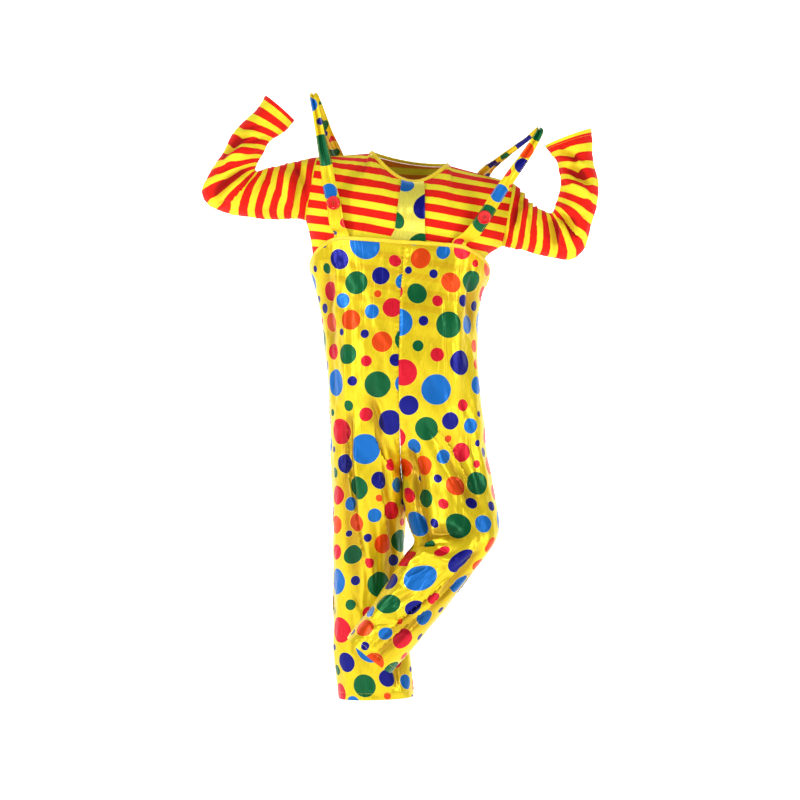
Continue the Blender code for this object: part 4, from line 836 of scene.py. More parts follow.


# %% [markdown]
# ## The dotted satin
#
# The print is one repeat of 40 dots in five inks on yellow, charted below. Each dot is a few nodes:
# the distance to its middle, less its radius. Wrapping the distance at the size of the repeat prints the dot
# again and again, with a sharp edge at any zoom, which a picture could not give. The nearest dot's distance
# also draws the bright rim where the inks don't quite meet. Long thin noise down the cloth stands for the
# satin's warp, which breaks its gloss into streaks.

# %% Inks and the charted repeat
INKS = {"blue": "#0f74d0", "navy": "#0c1088", "green": "#046838", "red": "#ea1430", "orange": "#fb4e0c"}
REPEAT = (0.270, 0.495)
STRIPE = 0.0372  # one red and one yellow stripe of the jersey
# Millimetres to the right and down from the middle of the largest dot, and the dot's radius.
DOTS = {
    "blue": [
        (0, 0, 37), (-91, -161, 33), (96, -158, 23), (17, -332, 17.5), (90, 89, 19), (-57, 137, 18),
        (122, -10, 22),
    ],
    "navy": [
        (65, -65, 30), (-32, -165, 12), (75, -215, 15), (0, -278, 10.5), (-67, 38, 24), (35, 76, 21.5),
        (113, 132, 8.5), (-61, -283, 8.5), (-130, -340, 12), (132, -203, 13), (-110, 4, 8), (120, 60, 8),
    ],
    "green": [
        (-45, -105, 13.5), (31, -156, 32), (-45, -230, 24), (102, -264, 29), (-24, 94, 28), (-108, 60, 13),
        (-109, -88, 9),
    ],
    "red": [
        (-79, -41, 32), (2, -84, 17), (4, -213, 13.5), (66, -342, 23.5), (70, 38, 15), (-102, 115, 24),
        (-99, -236, 20), (108, -312, 10),
    ],
    "orange": [
        (42, -259, 25), (-35, -312, 24), (128, -62, 13), (-104, -306, 23), (124, -106, 16), (30, 120, 9),
    ],
}
# The straps and the placket are narrow strips, so their dots are charted one by one: right of the middle
# line, along it from the bib (or down from the neck), and the radius.
RIGHT_STRAP_DOTS = {
    "navy": [(-18, -3, 7), (6, 272, 9), (-12, 470, 14), (10, 600, 16), (-4, 700, 14)],
    "red": [(21, 23, 13), (9, 503, 12), (-8, 630, 17), (12, 790, 20)],
    "blue": [(-3, 104, 19), (-10, 315, 17), (8, 745, 12)],
    "green": [(0, 203, 38), (8, 378, 6), (-6, 445, 17), (-4, 560, 16), (-14, 835, 18)],
}
LEFT_STRAP_DOTS = {
    "red": [(-4, -4, 13), (-17, 203, 13), (15, 180, 6), (10, 700, 14)],
    "green": [(4, 82, 34), (0, 322, 19), (4, 467, 15), (-10, 640, 16)],
    "blue": [(0, 151, 22), (6, 755, 19)],
    "navy": [(7, 236, 18), (0, 398, 26), (-4, 520, 21), (12, 585, 9)],
    "orange": [(-8, 272, 20), (-6, 820, 18)],
}
PLACKET_DOTS = {"blue": [(-25, 15, 29)], "navy": [(37, 83, 32)], "green": [(-33, 121, 19), (24, 169, 21)]}
METRE = 0.001  # the charts are in millimetres


def satin_warp(add, cut):
    """Heights as three outputs: long thin noise down the cloth, soft crumples, and thin lines where it is
    drawn tight, which come and go with the crumples."""
    stretched = add("Mapping", {"Vector": cut, "Scale": (1500.0, 30.0, 1.0)})
    warp = add("TexNoise", {"Vector": stretched, "Scale": 1.0, "Detail": 2.0})
    crumpled = add("Mapping", {"Vector": cut, "Scale": (26.0, 11.0, 1.0)})
    crumple = add("TexNoise", {"Vector": crumpled, "Scale": 1.0, "Detail": 3.0, "Roughness": 0.55})
    drawn = add("Mapping", {"Vector": cut, "Scale": (34.0, 1.7, 1.0)})
    drawn = add("TexNoise", {"Vector": drawn, "Scale": 1.0, "Detail": 1.5, "Distortion": 0.5})
    away = add("Math", [add("Math", [drawn, 0.5], "SUBTRACT")], "ABSOLUTE")
    pulls = add("MapRange", [away, 0.0, 0.03, 1.0, 0.0])
    pulls = add("Math", [pulls, add("MapRange", [crumple, 0.38, 0.62, 0.0, 1.0])], "MULTIPLY")
    return warp, crumple, pulls


def stripes_behind(add):
    """How strongly the shirt's red stripes show through the bib: faint soft bands, only on its front."""
    across, depth, height = add("SeparateXYZ", [add("TexCoord").node.outputs["Object"]]).node.outputs
    fallen = add("Math", [across, 0.17, height], "MULTIPLY_ADD")
    wave = add("Math", [add("Math", [fallen, 2 * math.pi / STRIPE], "MULTIPLY")], "SINE")
    band = add("MapRange", [wave, -0.1, 0.6, 0.0, 0.5])
    on_bib = add("MapRange", [height, -0.46, -0.36, 0.0, 1.0])
    on_front = add("MapRange", [depth, -0.08, -0.11, 0.0, 1.0])
    return add("Math", [add("Math", [band, on_bib], "MULTIPLY"), on_front], "MULTIPLY")


def crease_depth(add):
    """How deep a place lies in a crease, kept as a mesh attribute, by which the finishes paint shade."""
    return add("Attribute", attribute_name="crease", attribute_type="GEOMETRY").node.outputs["Fac"]


def dotted_satin(name, chart, repeat=None, pale=0.0, ground=("#e3c30c", "#f2da22"), through=False):
    """Yellow satin printed with the chart's dots. pale is how far the print fades on the cloth's inner face,
    and ground is the two tones of its yellow. through is whether the shirt's stripes show through it."""
    finish, add, put = new_finish(name, metallic=0.42, specular_ior_level=0.3)
    cut = add("UVMap", uv_map="cut")
    half = (repeat[0] / 2, repeat[1] / 2, 1.0) if repeat else None
    edges = {}
    for ink, spots in chart.items():
        for right, down, radius in spots:
            away = add("VectorMath", [cut, (right * METRE, down * METRE, 0.0)], "SUBTRACT")
            if repeat:
                away = add("VectorMath", [away, half, tuple(-size for size in half)], "WRAP")
            away = add("VectorMath", [away], "LENGTH")
            beyond = add("Math", [away, radius * METRE], "SUBTRACT")
            edges[ink] = add("Math", [edges[ink], beyond], "MINIMUM") if ink in edges else beyond
    nearest = None
    for edge in edges.values():
        nearest = edge if nearest is None else add("Math", [nearest, edge], "MINIMUM")

    warp, crumple, pulls = satin_warp(add, cut)
    # painted shade: the yellow and the inks darken deep in creases and tucks and beside seams
    shade = add("MapRange", [crease_depth(add), -0.0004, -0.0065, 0.0, 0.7])
    yellow = add("MixRGB", [crumple, paint(ground[0]), paint(ground[1])])
    if through:
        yellow = add("MixRGB", [stripes_behind(add), yellow, paint("#d9a40c")])
    yellow = add("MixRGB", [shade, yellow, paint("#a87403")])
    rim = add("MapRange", [nearest, 0.0004, 0.0018, 0.5, 0.0])
    colour = add("MixRGB", [rim, yellow, paint("#ffea3c")])
    for ink, edge in edges.items():
        inside = add("MapRange", [edge, 0.0003, -0.0003, 0.0, 1.0 - pale])
        dark = tuple(0.72 * part for part in paint(INKS[ink])[:3]) + (1.0,)
        printed = add("MixRGB", [warp, paint(INKS[ink]), dark])
        # the same painted shade on the ink
        printed = add("MixRGB", [shade, printed, tuple(0.5 * part for part in dark[:3]) + (1.0,)])
        colour = add("MixRGB", [inside, colour, printed])
    put("Base Color", colour)
    put("Roughness", add("MapRange", [warp, 0.3, 0.7, 0.24, 0.40]))
    low = add("Bump", {"Strength": 0.30, "Distance": 0.0020, "Height": crumple})
    tight = add("Bump", {"Strength": 0.5, "Distance": 0.0008, "Height": pulls, "Normal": low})
    put("Normal", add("Bump", {"Strength": 0.35, "Distance": 0.00010, "Height": warp, "Normal": tight}))
    return finish


satin = dotted_satin("dotted satin", DOTS, REPEAT, through=True)
satin_back = dotted_satin("dotted satin, inner face", DOTS, REPEAT, pale=0.45)
strap_satin = {
    "right": dotted_satin("strap satin, right", RIGHT_STRAP_DOTS),
    "left": dotted_satin("strap satin, left", LEFT_STRAP_DOTS),
}
placket_satin = dotted_satin("placket satin", PLACKET_DOTS, ground=("#f4e544", "#fbf06e"))
print("dots in the repeat:", sum(len(spots) for spots in DOTS.values()))

# %% [markdown]
# ## The striped jersey, the tape, the thread and the buttons
#
# Jersey is knitted, so its surface is rows of small chevrons that stand in upright ribs. The stripes are
# printed across the cut: red where the distance down it is near the middle of each repeat. The bias tape is
# plain satin, woven on the slant. The thread is twisted polyester, and the buttons are glossy moulded
# plastic.

# %% Striped jersey
RED_SHARE = 0.54  # how much of a pair of stripes is red
RIB = 0.0017  # one upright rib of the knit
STITCH_ROWS = 0.0013  # from one row of its loops to the next


def striped_jersey(name, pale=0.0):
    """Jersey in red and yellow stripes across its cut. pale is how far the red fades on the inner face."""
    finish, add, put = new_finish(name, specular_ior_level=0.12, sheen_weight=0.04, sheen_roughness=0.5)
    cut = add("UVMap", uv_map="cut")
    across, down, _ = add("SeparateXYZ", [cut]).node.outputs
    uneven = add("TexNoise", {"Vector": cut, "Scale": 160.0, "Detail": 2.0})
    wobble = add("MapRange", [uneven, 0.0, 1.0, -0.0004, 0.0004])
    place = add("Math", [add("Math", [down, wobble], "ADD"), STRIPE], "DIVIDE")
    place = add("Math", [place], "FRACT")
    middle = add("Math", [place, 0.5], "SUBTRACT")
    away = add("Math", [middle], "ABSOLUTE")
    red = add("MapRange", [away, 0.5 * RED_SHARE + 0.012, 0.5 * RED_SHARE - 0.012, 0.0, 1.0 - pale])

    rib = add("Math", [add("Math", [across, RIB], "DIVIDE")], "FRACT")
    slope = add("Math", [add("Math", [rib, 0.5], "SUBTRACT")], "ABSOLUTE")
    loop = add("Math", [add("Math", [down, STITCH_ROWS], "DIVIDE"), slope], "ADD")
    wave = add("Math", [add("Math", [loop, 2 * math.pi], "MULTIPLY")], "SINE")
    valley = add("MapRange", [slope, 0.5, 0.36, 0.0, 1.0])
    knit = add("Math", [add("MapRange", [wave, -1.0, 1.0, 0.35, 1.0]), valley], "MULTIPLY")

    slub = add("Mapping", {"Vector": cut, "Scale": (420.0, 22.0, 1.0)})
    slub = add("TexNoise", {"Vector": slub, "Scale": 1.0, "Detail": 2.0})
    # painted shade: the yellow and the red darken deep in creases and beside seams
    shade = add("MapRange", [crease_depth(add), -0.0006, -0.008, 0.0, 0.8])
    yellow = add("MixRGB", [slub, paint("#feea1c"), paint("#fff03a")])
    yellow = add("MixRGB", [shade, yellow, paint("#d9a408")])
    scarlet = add("MixRGB", [slub, paint("#e81006"), paint("#f62412")])
    scarlet = add("MixRGB", [shade, scarlet, paint("#8e0402")])
    colour = add("MixRGB", [red, yellow, scarlet])
    # painted shade between the knit's ribs and rows of loops, which darkens the colour in their valleys
    lit = add("MapRange", [knit, 0.0, 1.0, 0.80, 1.0])
    put("Base Color", add("VectorMath", [colour, add("CombineXYZ", [lit, lit, lit])], "MULTIPLY"))
    put("Roughness", add("MapRange", [slub, 0.3, 0.7, 0.62, 0.78]))
    soft = add("Bump", {"Strength": 0.5, "Distance": 0.0005, "Height": slub})
    put("Normal", add("Bump", {"Strength": 0.5, "Distance": 0.00030, "Height": knit, "Normal": soft}))
    return finish


jersey = striped_jersey("striped jersey")
jersey_back = striped_jersey("striped jersey, inner face", pale=0.3)


# %% Tape, thread and plastic
def plain_weave(name, light, deep, roughness, slant=0.78):
    """A tape of one colour whose fine threads run on the slant."""
    finish, add, put = new_finish(name, specular_ior_level=0.45, sheen_weight=0.2)
    place = add("TexCoord").node.outputs["Object"]
    fine = {"Vector": place, "Rotation": (slant, slant, 0.3), "Scale": (1400.0, 60.0, 1400.0)}
    turned = add("Mapping", fine)
    threads = add("TexNoise", {"Vector": turned, "Scale": 1.0, "Detail": 1.0})
    cloudy = add("TexNoise", {"Vector": place, "Scale": 45.0, "Detail": 2.0})
    put("Base Color", add("MixRGB", [cloudy, paint(deep), paint(light)]))
    put("Roughness", add("MapRange", [threads, 0.3, 0.7, roughness - 0.07, roughness + 0.07]))
    soft = add("Bump", {"Strength": 0.5, "Distance": 0.0008, "Height": cloudy})
    put("Normal", add("Bump", {"Strength": 0.5, "Distance": 0.00015, "Height": threads, "Normal": soft}))
    return finish


def moulded_plastic(name, light, deep):
    """Glossy plastic with faint flow marks and fine scratches that only its gloss shows."""
    finish, add, put = new_finish(name, specular_ior_level=0.4, coat_weight=0.15, coat_roughness=0.1)
    place = add("TexCoord").node.outputs["Object"]
    flow = add("TexNoise", {"Vector": place, "Scale": 70.0, "Detail": 3.0})
    scratched = add("Mapping", {"Vector": place, "Scale": (900.0, 900.0, 60.0)})
    scratches = add("TexNoise", {"Vector": scratched, "Scale": 1.0, "Detail": 2.0})
    put("Base Color", add("MixRGB", [flow, paint(deep), paint(light)]))
    put("Roughness", add("MapRange", [scratches, 0.35, 0.65, 0.18, 0.32]))
    put("Normal", add("Bump", {"Strength": 0.15, "Distance": 0.0002, "Height": flow}))
    return finish


tape_finish = plain_weave("yellow bias tape", "#fbe024", "#f0c90e", 0.42)
thread_yellow = plain_weave("yellow thread", "#f2dc30", "#dcbc14", 0.5)
thread_red = plain_weave("dark red thread", "#8c0a0c", "#5c0406", 0.6)
button_plastic = moulded_plastic("red plastic", "#e80e12", "#cc060a")

# %% [markdown]
# ## The dungarees
#
# Each half is a front and a back panel, from the chest to the hem, sewn at the side, down the middle and
# along the inseam. The panel is a grid whose columns run from the side seam to the middle. Its upper edge
# slopes from the bib down to the side, so the rows near it follow the edge and fade into level ones further
# down. Cloth simulation could find folds of its own, but the ones in the picture are known, so they are laid
# one by one: long troughs from the crotch, a stack of short ones inside the bent knee, and pulls down each
# shin.


# %% Building a panel of the dungarees
def edge_row(edge, share):
    """The table row of the dungarees' upper edge: level over the bib, then down to the side seam in a line
    whose corner is rounded."""
    beyond = edge["share"] - np.abs(share)
    ramp = (beyond + np.sqrt(beyond**2 + CORNER_ROUNDING**2)) / 2
    inward = np.clip(-beyond / (1 - edge["share"]), 0, 1)
    level = edge["corner"] + (edge["middle"] - edge["corner"]) * inward
    return level + ramp * (edge["side"] - edge["corner"]) / edge["share"]


LEGS = {
    "right": dict(table=RIGHT_LEG, edge=RIGHT_EDGE, side=-1, folds=RIGHT_LEG_FOLDS + RIGHT_LEG_CREASES),
    "left": dict(table=LEFT_LEG, edge=LEFT_EDGE, side=1, folds=LEFT_LEG_FOLDS + LEFT_LEG_CREASES),
}
# Where the middle of the print's largest dot falls on each front (1) and back (-1), as seen from the front.
PRINT_AT = {
    ("right", 1): (-0.1084, -0.7054), ("right", -1): (-0.080, -0.610),
    ("left", 1): (0.0618, -0.5616), ("left", -1): (0.120, -0.760),
}
# Tucks of the front panels: the two ends of each line, its bow, how far it reaches, its height (raised on the
# line's left, looking along it; a negative one on its right), and how much cloth it hides.
TUCKS = {
    "right": [
        (-0.1554, -0.576, -0.1016, -1.014, -0.0170, 0.011, -0.0036, 0.006),
        (-0.0896, -0.636, -0.0353, -0.766, -0.0120, 0.009, -0.0040, 0.003),
        (-0.0720, -0.770, -0.0420, -0.960, -0.0040, 0.008, -0.0030, 0.003),
    ],
    "left": [
        (0.1528, -0.960, -0.0980, -1.175, 0.0000, 0.011, -0.0050, 0.007),
        (0.1568, -0.989, -0.0861, -1.190, 0.0000, 0.009, -0.0042, 0.005),
        (0.0480, -0.640, 0.1560, -0.815, 0.0080, 0.009, -0.0030, 0.002),
        (0.0500, -0.908, -0.0260, -1.006, 0.0030, 0.009, 0.0042, 0.006),
        (0.1100, -0.900, 0.0120, -0.944, -0.0060, 0.008, 0.0036, 0.003),
    ],
}
# How far each leg's cloth bulges towards the other one's below the crotch, at heights going up.
MEETING_AT = (-0.920, -0.885, -0.860, -0.820, -0.785, -0.760, -0.735)
MEETING = (0.0, 0.0030, 0.0046, 0.0021, 0.0012, 0.0006, 0.0001)
CLOSED_COLUMN = 7  # of a leg's table
OPEN_BELOW = CROTCH + 0.2  # the value of closed up to which the two halves meet along one line
FOLLOWED = 0.6  # how much of the way over its large folds the print follows
PANEL_COLUMNS, PANEL_ROWS = 92, 320
HEM = 0.016  # the width of the turned hems
SEAM_SHARE = 0.0003  # how far a piece stops before its seam, as a share of the way round
MIDDLE_GAP = 0.00015  # half the space between the two halves above the crotch
THIGH_ROW = 10  # the last table row whose print is placed by the front view, and not along the leg
SOFT, FINE = 0.0016, 0.00045  # heights of the satin's soft and fine unevenness


def grain(table, half, row):
    """How far down the cut each row is, and how far across the leg's middle line is there. The line runs down
    the leg halfway between its two ends, and the print's upright rows run along it."""
    fine = np.linspace(0, len(table) - 1, 500)
    share = half * np.linspace(0, 1, 400)
    grid = leg(table, share[None], fine[:, None])
    columns = along(table, fine)
    halfway = (columns[:, 0] + columns[:, 2]) / 2
    inward = np.abs(grid[..., 0] - columns[:, :1])
    line = np.array([
        [np.interp(abs(h - c[0]), i, g[:, k]) for k in range(3)]
        for h, c, i, g in zip(halfway, columns, inward, grid)
    ])
    run = arc(line[:, None], 0)[:, 0]
    kept = np.minimum(fine, THIGH_ROW)
    centre = np.interp(kept, fine, halfway)
    return np.interp(row, fine, run), np.interp(row, fine, centre)


def panel(side_name, half):
    """One panel of the dungarees: its outer grid with every crease, its flat cut, and its smooth grid."""
    shape = LEGS[side_name]
    table, edge, side = shape["table"], shape["edge"], shape["side"]
    last = len(table) - 1
    share = half * (SEAM_SHARE + (1 - 2 * SEAM_SHARE) * crowded(PANEL_COLUMNS, 0.35))[None, :]
    base = (edge["middle"] + (last - edge["middle"]) * crowded(PANEL_ROWS, 0.3))[:, None]
    fade = np.clip((EDGE_FADE - base) / (EDGE_FADE - edge["middle"]), 0, 1)
    row = base + (edge_row(edge, share) - edge["middle"]) * fade
    smooth = leg(table, share, row)
    normal = outward(lambda s, r: leg(table, s, r), share, row, side)
    creased, lift = folded(smooth, normal, shape["folds"])
    tuck, hidden = tucked(smooth, normal, side, TUCKS[side_name] if half > 0 else ())

    run, centre = grain(table, half, row)
    across_smooth, across_creased = arc(smooth, 1), arc(creased, 1)
    across = across_smooth + FOLLOWED * (across_creased - across_smooth) + hidden
    to_middle = across_smooth[:, -1:] - across_smooth
    halfway = (along(table, row)[..., 0] + along(table, row)[..., 2]) / 2
    from_centre = side * (halfway[:, :1] - smooth[..., 0])
    at_centre = np.array([np.interp(0, away, run_across) for away, run_across in zip(from_centre, across)])
    uv = np.stack([half * centre - side * half * (across - at_centre[:, None]), run], -1)

    from_top = arc(smooth, 0)
    from_hem = from_top[-1:] - from_top
    quiet = fading(from_top, 0.03) * fading(from_hem, 0.02)
    lift = lift + quiet * tuck
    seed = half + 2 * side
    lift = lift + quiet * ripples(across_smooth, run, 11 + seed, SOFT)
    lift = lift + quiet * ripples(across_smooth, run, 31 + seed, FINE, 0.014, 0.04, 0.45)
    beside = seam_relief(to_middle, run) + seam_relief(across_smooth, run + 0.005)
    turned_up = 0.0005 * (1 - fading(from_hem - HEM, 0.0015))
    turned_up = turned_up + seam_relief(np.abs(from_hem - HEM), across, 0.0005, 0.0004)
    points = smooth + normal * (lift + beside * fading(from_top, 0.01) + turned_up)[..., None]
    # Above the crotch no crease crosses the middle seam, and below it the two legs bulge until they meet.
    open_here = along(table, row)[..., CLOSED_COLUMN] < OPEN_BELOW
    middle = along(table, row)[..., 2] + side * MIDDLE_GAP
    kept = np.maximum(points[..., 0], middle) if side > 0 else np.minimum(points[..., 0], middle)
    meeting = np.interp(smooth[..., 2], MEETING_AT, MEETING) * np.abs(share) ** 5
    points[..., 0] = np.where(open_here, kept, points[..., 0]) - side * meeting
    hem_row = int(np.abs(from_hem[:, PANEL_COLUMNS // 2] - HEM).argmin())
    uv = set_print(uv, smooth, PRINT_AT[side_name, half])
    # the fourth value is the depth by which the finish paints shade, with the seams and tucks counted extra
    return points, uv, smooth, lift + 1.5 * beside + tuck, hem_row


# %% The four panels
panels, hem_rows = {}, {}
for side_name, shape in LEGS.items():
    for half_name, half in (("front", 1), ("back", -1)):
        outer, uv, smooth, lift, hem_row = panel(side_name, half)
        name = f"satin_{half_name}_{side_name}"
        piece = cloth(name, outer, uv, [satin, satin_back], shape["side"] * half, lift=lift)
        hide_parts(f"dungarees_{half_name}_{side_name}")
        panels[name], hem_rows[name] = (piece, smooth), hem_row

# %% [markdown]
# ## The shirt
#
# The shirt is cut as two fronts that meet under the placket, one back and two sleeves. Below the underarm it
# is a ring like the legs. Above it, each face is stretched between the underarm, the shoulder and neck edge,
# and the two armholes. The stripes are level on the cut, so the UV map counts down from the underarm line.


# %% The shirt's surface
def neckline(share, shape):
    """A point of the neckline. share runs from the right neck point to the left one, and the curve dips by
    the sine of its angle, raised to a power that makes it more pointed."""
    right, left = np.array(NECK_RIGHT), np.array(NECK_LEFT)
    angle = math.pi * share
    point = right + (left - right) * ((1 - np.cos(angle)) / 2)[..., None]
    point[..., 1] += shape["depth"] * np.sin(angle)
    point[..., 2] -= shape["drop"] * np.sin(angle) ** shape["pointed"]
    return point


def shirt_top(face, share):
    """The shirt's top edge: the right shoulder seam, the neckline, and the left shoulder seam."""
    shape = dict(NECK_FRONT if face < 0 else NECK_BACK)
    shape["depth"] *= face
    right, left = tube(RIGHT_SLEEVE, 1.0, 0.0), tube(LEFT_SLEEVE, 1.0, 0.0)
    first, last = NECK_SHARE
    on_right = np.clip(share / first, 0, 1)[..., None]
    on_left = np.clip((share - last) / (1 - last), 0, 1)[..., None]
    point = neckline(np.clip((share - first) / (last - first), 0, 1), shape)
    neck_right, neck_left = np.array(NECK_RIGHT), np.array(NECK_LEFT)
    point = np.where(share[..., None] < first, right + (neck_right - right) * on_right, point)
    return np.where(share[..., None] > last, neck_left + (left - neck_left) * on_left, point)


def shirt_upper(face, share, height):
    """A point of the shirt above the underarm, where height is 0, up to the shoulder and neck edge, where it
    is 1. Near each side it also follows the armhole's curve. share is 0 at the right side."""
    share, height = np.broadcast_arrays(share, height)
    low = tube(SHIRT_BODY, -face * share, 0.0, ROUNDNESS)
    top = shirt_top(face, share)
    up = np.stack([height, height**SHOULDER_ROUNDING, height], -1)
    hollow = 0
    for table, nearness in ((RIGHT_SLEEVE, 1 - share), (LEFT_SLEEVE, share)):
        curve = tube(table, -face * height, 0.0)
        straight = (1 - up) * tube(table, 0.0, 0.0) + up * tube(table, 1.0, 0.0)
        hollow = hollow + (nearness**ARMHOLE_REACH)[..., None] * (curve - straight)
    return (1 - up) * low + up * top + hollow


def shirt(face, share, row):
    """A point of the shirt's front (face -1) or back (face 1). Rows below 0 are above the underarm, down to
    -1 at the shoulders, and rows from 0 on are those of SHIRT_BODY."""
    share, row = np.broadcast_arrays(share, row)
    upper = shirt_upper(face, share, np.clip(-row, 0, 1))
    lower = tube(SHIRT_BODY, -face * share, np.maximum(row, 0), ROUNDNESS)
    return np.where((row < 0)[..., None], upper, lower)


# %% The two fronts and the back
SHIRT_COLUMNS = (26, 30, 30, 26)  # along the shoulder, each half of the neck, and the other shoulder
UPPER_ROWS, LOWER_ROWS = 74, 60  # above and below the underarm
# Where the middle of a red stripe falls, seen from the front, and how steeply the stripes fall to the left.
STRIPE_AT = {
    "front_right": (-0.0293, -0.1513, 0.185),
    "front_left": (0.0343, -0.1235, 0.165),
    "back": (0.0, -0.145, 0.06),
}


def shirt_columns(first, last):
    """Places of the shirt's columns between two shares, with one exactly at each end of the neckline."""
    low, high = NECK_SHARE
    ends = (0, low, (low + high) / 2, high, 1)
    places = [np.linspace(a, b, n, endpoint=False) for a, b, n in zip(ends[:-1], ends[1:], SHIRT_COLUMNS)]
    places = np.concatenate([*places, [1]])
    return np.concatenate([[first], places[(places > first + 0.002) & (places < last - 0.002)], [last]])


def shirt_piece(name, face, first, last):
    """One piece of the shirt, with its creases, flat cut and seams."""
    upper = np.linspace(-1, 0, UPPER_ROWS, endpoint=False)
    rows = np.concatenate([upper, np.linspace(0, len(SHIRT_BODY) - 1, LOWER_ROWS)])
    rows[0] += 0.002  # just under the edge, where the surface still has a slope
    share, row = shirt_columns(first, last)[None, :], rows[:, None]
    smooth = shirt(face, share, row)
    near = np.where(np.abs(row) < 1e-9, 2 * STEP, np.clip(row, STEP - 1, None))
    normal = outward(lambda s, r: shirt(face, s, r), np.clip(share, STEP, 1 - STEP), near, face)
    at_seam = (row < -0.99) & ((share < NECK_SHARE[0]) | (share > NECK_SHARE[1]))
    flat = unit(normal * np.array([1, 0, 1]))

    down = arc(smooth, 0) - arc(smooth, 0)[UPPER_ROWS : UPPER_ROWS + 1]
    across = arc(smooth, 1)
    centred = across - across[:, across.shape[1] // 2, None]
    at_x, at_z, slope = STRIPE_AT[name]
    middle = smooth[:, int(0.75 * across.shape[1]) if name == "front_right" else across.shape[1] // 4]
    level = smooth[..., 2] + slope * (smooth[..., 0] - at_x)
    if face < 0:  # over the shoulder the stripes go on by the way back, where the cloth hardly rises
        level = level + 0.5 * np.clip(smooth[..., 1] + 0.05, 0, None) * np.clip(-row, 0, 1) ** 2
    along_middle = arc(middle[:, None] * (1, 0.5, 1), 0)[:, 0]  # worn cloth stretches where it turns back
    fallen = np.interp(-level, -middle[:, 2], along_middle)
    origin = np.interp(-at_z, -middle[:, 2], along_middle)
    fallen = fallen + np.minimum(middle[0, 2] - level, 0)  # above the top of that column
    uv = np.stack([centred, fallen - origin + STRIPE / 2], -1)
    _, lift = folded(smooth, normal, SHIRT_CREASES)
    to_edge = np.minimum(across, across[:, -1:] - across)
    to_top = arc(smooth, 0)
    quiet = fading(to_edge, 0.02) * fading(to_top, 0.015)
    lift = quiet * (lift + ripples(across, down, 50 + len(name), 0.0009, 0.05, 0.16, 0.9))
    lift = lift + quiet * ripples(across, down, 60 + len(name), 0.00035, 0.014, 0.035, 0.8)
    relief = seam_relief(to_edge, down, 0.0010, 0.0005) + seam_relief(to_top, across, 0.0008, 0.0004)
    points = smooth + normal * (lift + relief * fading(to_top, 0.004) * fading(to_edge, 0.002))[..., None]
    walls = np.where(at_seam[..., None], flat, facing(points, face))
    # the fourth value is the depth by which the finish paints shade, with the seams counted extra
    return points, uv, smooth, lift + 1.5 * relief, walls


shirts = {}
for name, face, first, last in (
    ("front_right", -1, SEAM_SHARE, 0.5 - SEAM_SHARE),
    ("front_left", -1, 0.5 + SEAM_SHARE, 1 - SEAM_SHARE),
    ("back", 1, SEAM_SHARE, 1 - SEAM_SHARE),
):
    outer, uv, smooth, lift, walls = shirt_piece(name, face, first, last)
    piece = cloth(f"jersey_{name}", outer, uv, [jersey, jersey_back], face, normal=walls, lift=lift)
    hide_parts(f"shirt_{name}")
    shirts[name] = (piece, smooth)

# %% [markdown]
# ## The sleeves
#
# A sleeve is one cut, sewn to a tube along the underarm and set into the armhole. Raised arms crowd the cloth
# inside the elbow, and the wrist's hem is turned and stitched. On the left sleeve a row of small gathers runs
# along the top of the upper arm, where the cloth is pushed up. The stripes run round the arm on the cut.

# %% Two sleeves
SLEEVE_COLUMNS, SLEEVE_ROWS = 112, 200
CUFF_HEM = 0.013  # the width of the turned hem
ARMHOLE_GAP = 0.0003  # between a sleeve's first row and the shirt's edge
UNDERARM = 0.2  # metres round the arm to one share, for the puckers beside the underarm seam
SLEEVES = {
    "right": dict(table=RIGHT_SLEEVE, side=-1, folds=RIGHT_SLEEVE_FOLDS + RIGHT_SLEEVE_CREASES),
    "left": dict(table=LEFT_SLEEVE, side=1, folds=LEFT_SLEEVE_FOLDS + LEFT_SLEEVE_CREASES),
}
CUFF_STRIPE = {"right": 0.5, "left": 0.02}  # the share of a pair of stripes at the cuff
GATHERS = {"right": (0.050, 0.150, 0.0011), "left": (0.012, 0.125, 0.0030)}  # start, stop and height
GATHER = 0.0195  # from one small gather to the next
ELBOW_TUCKS = {  # with the columns of TUCKS
    "right": [(-0.366, -0.042, -0.440, -0.118, 0.0040, 0.011, -0.0040, 0.008)],
    "left": [(0.333, -0.136, 0.424, -0.220, -0.0040, 0.011, 0.0040, 0.008)],
}


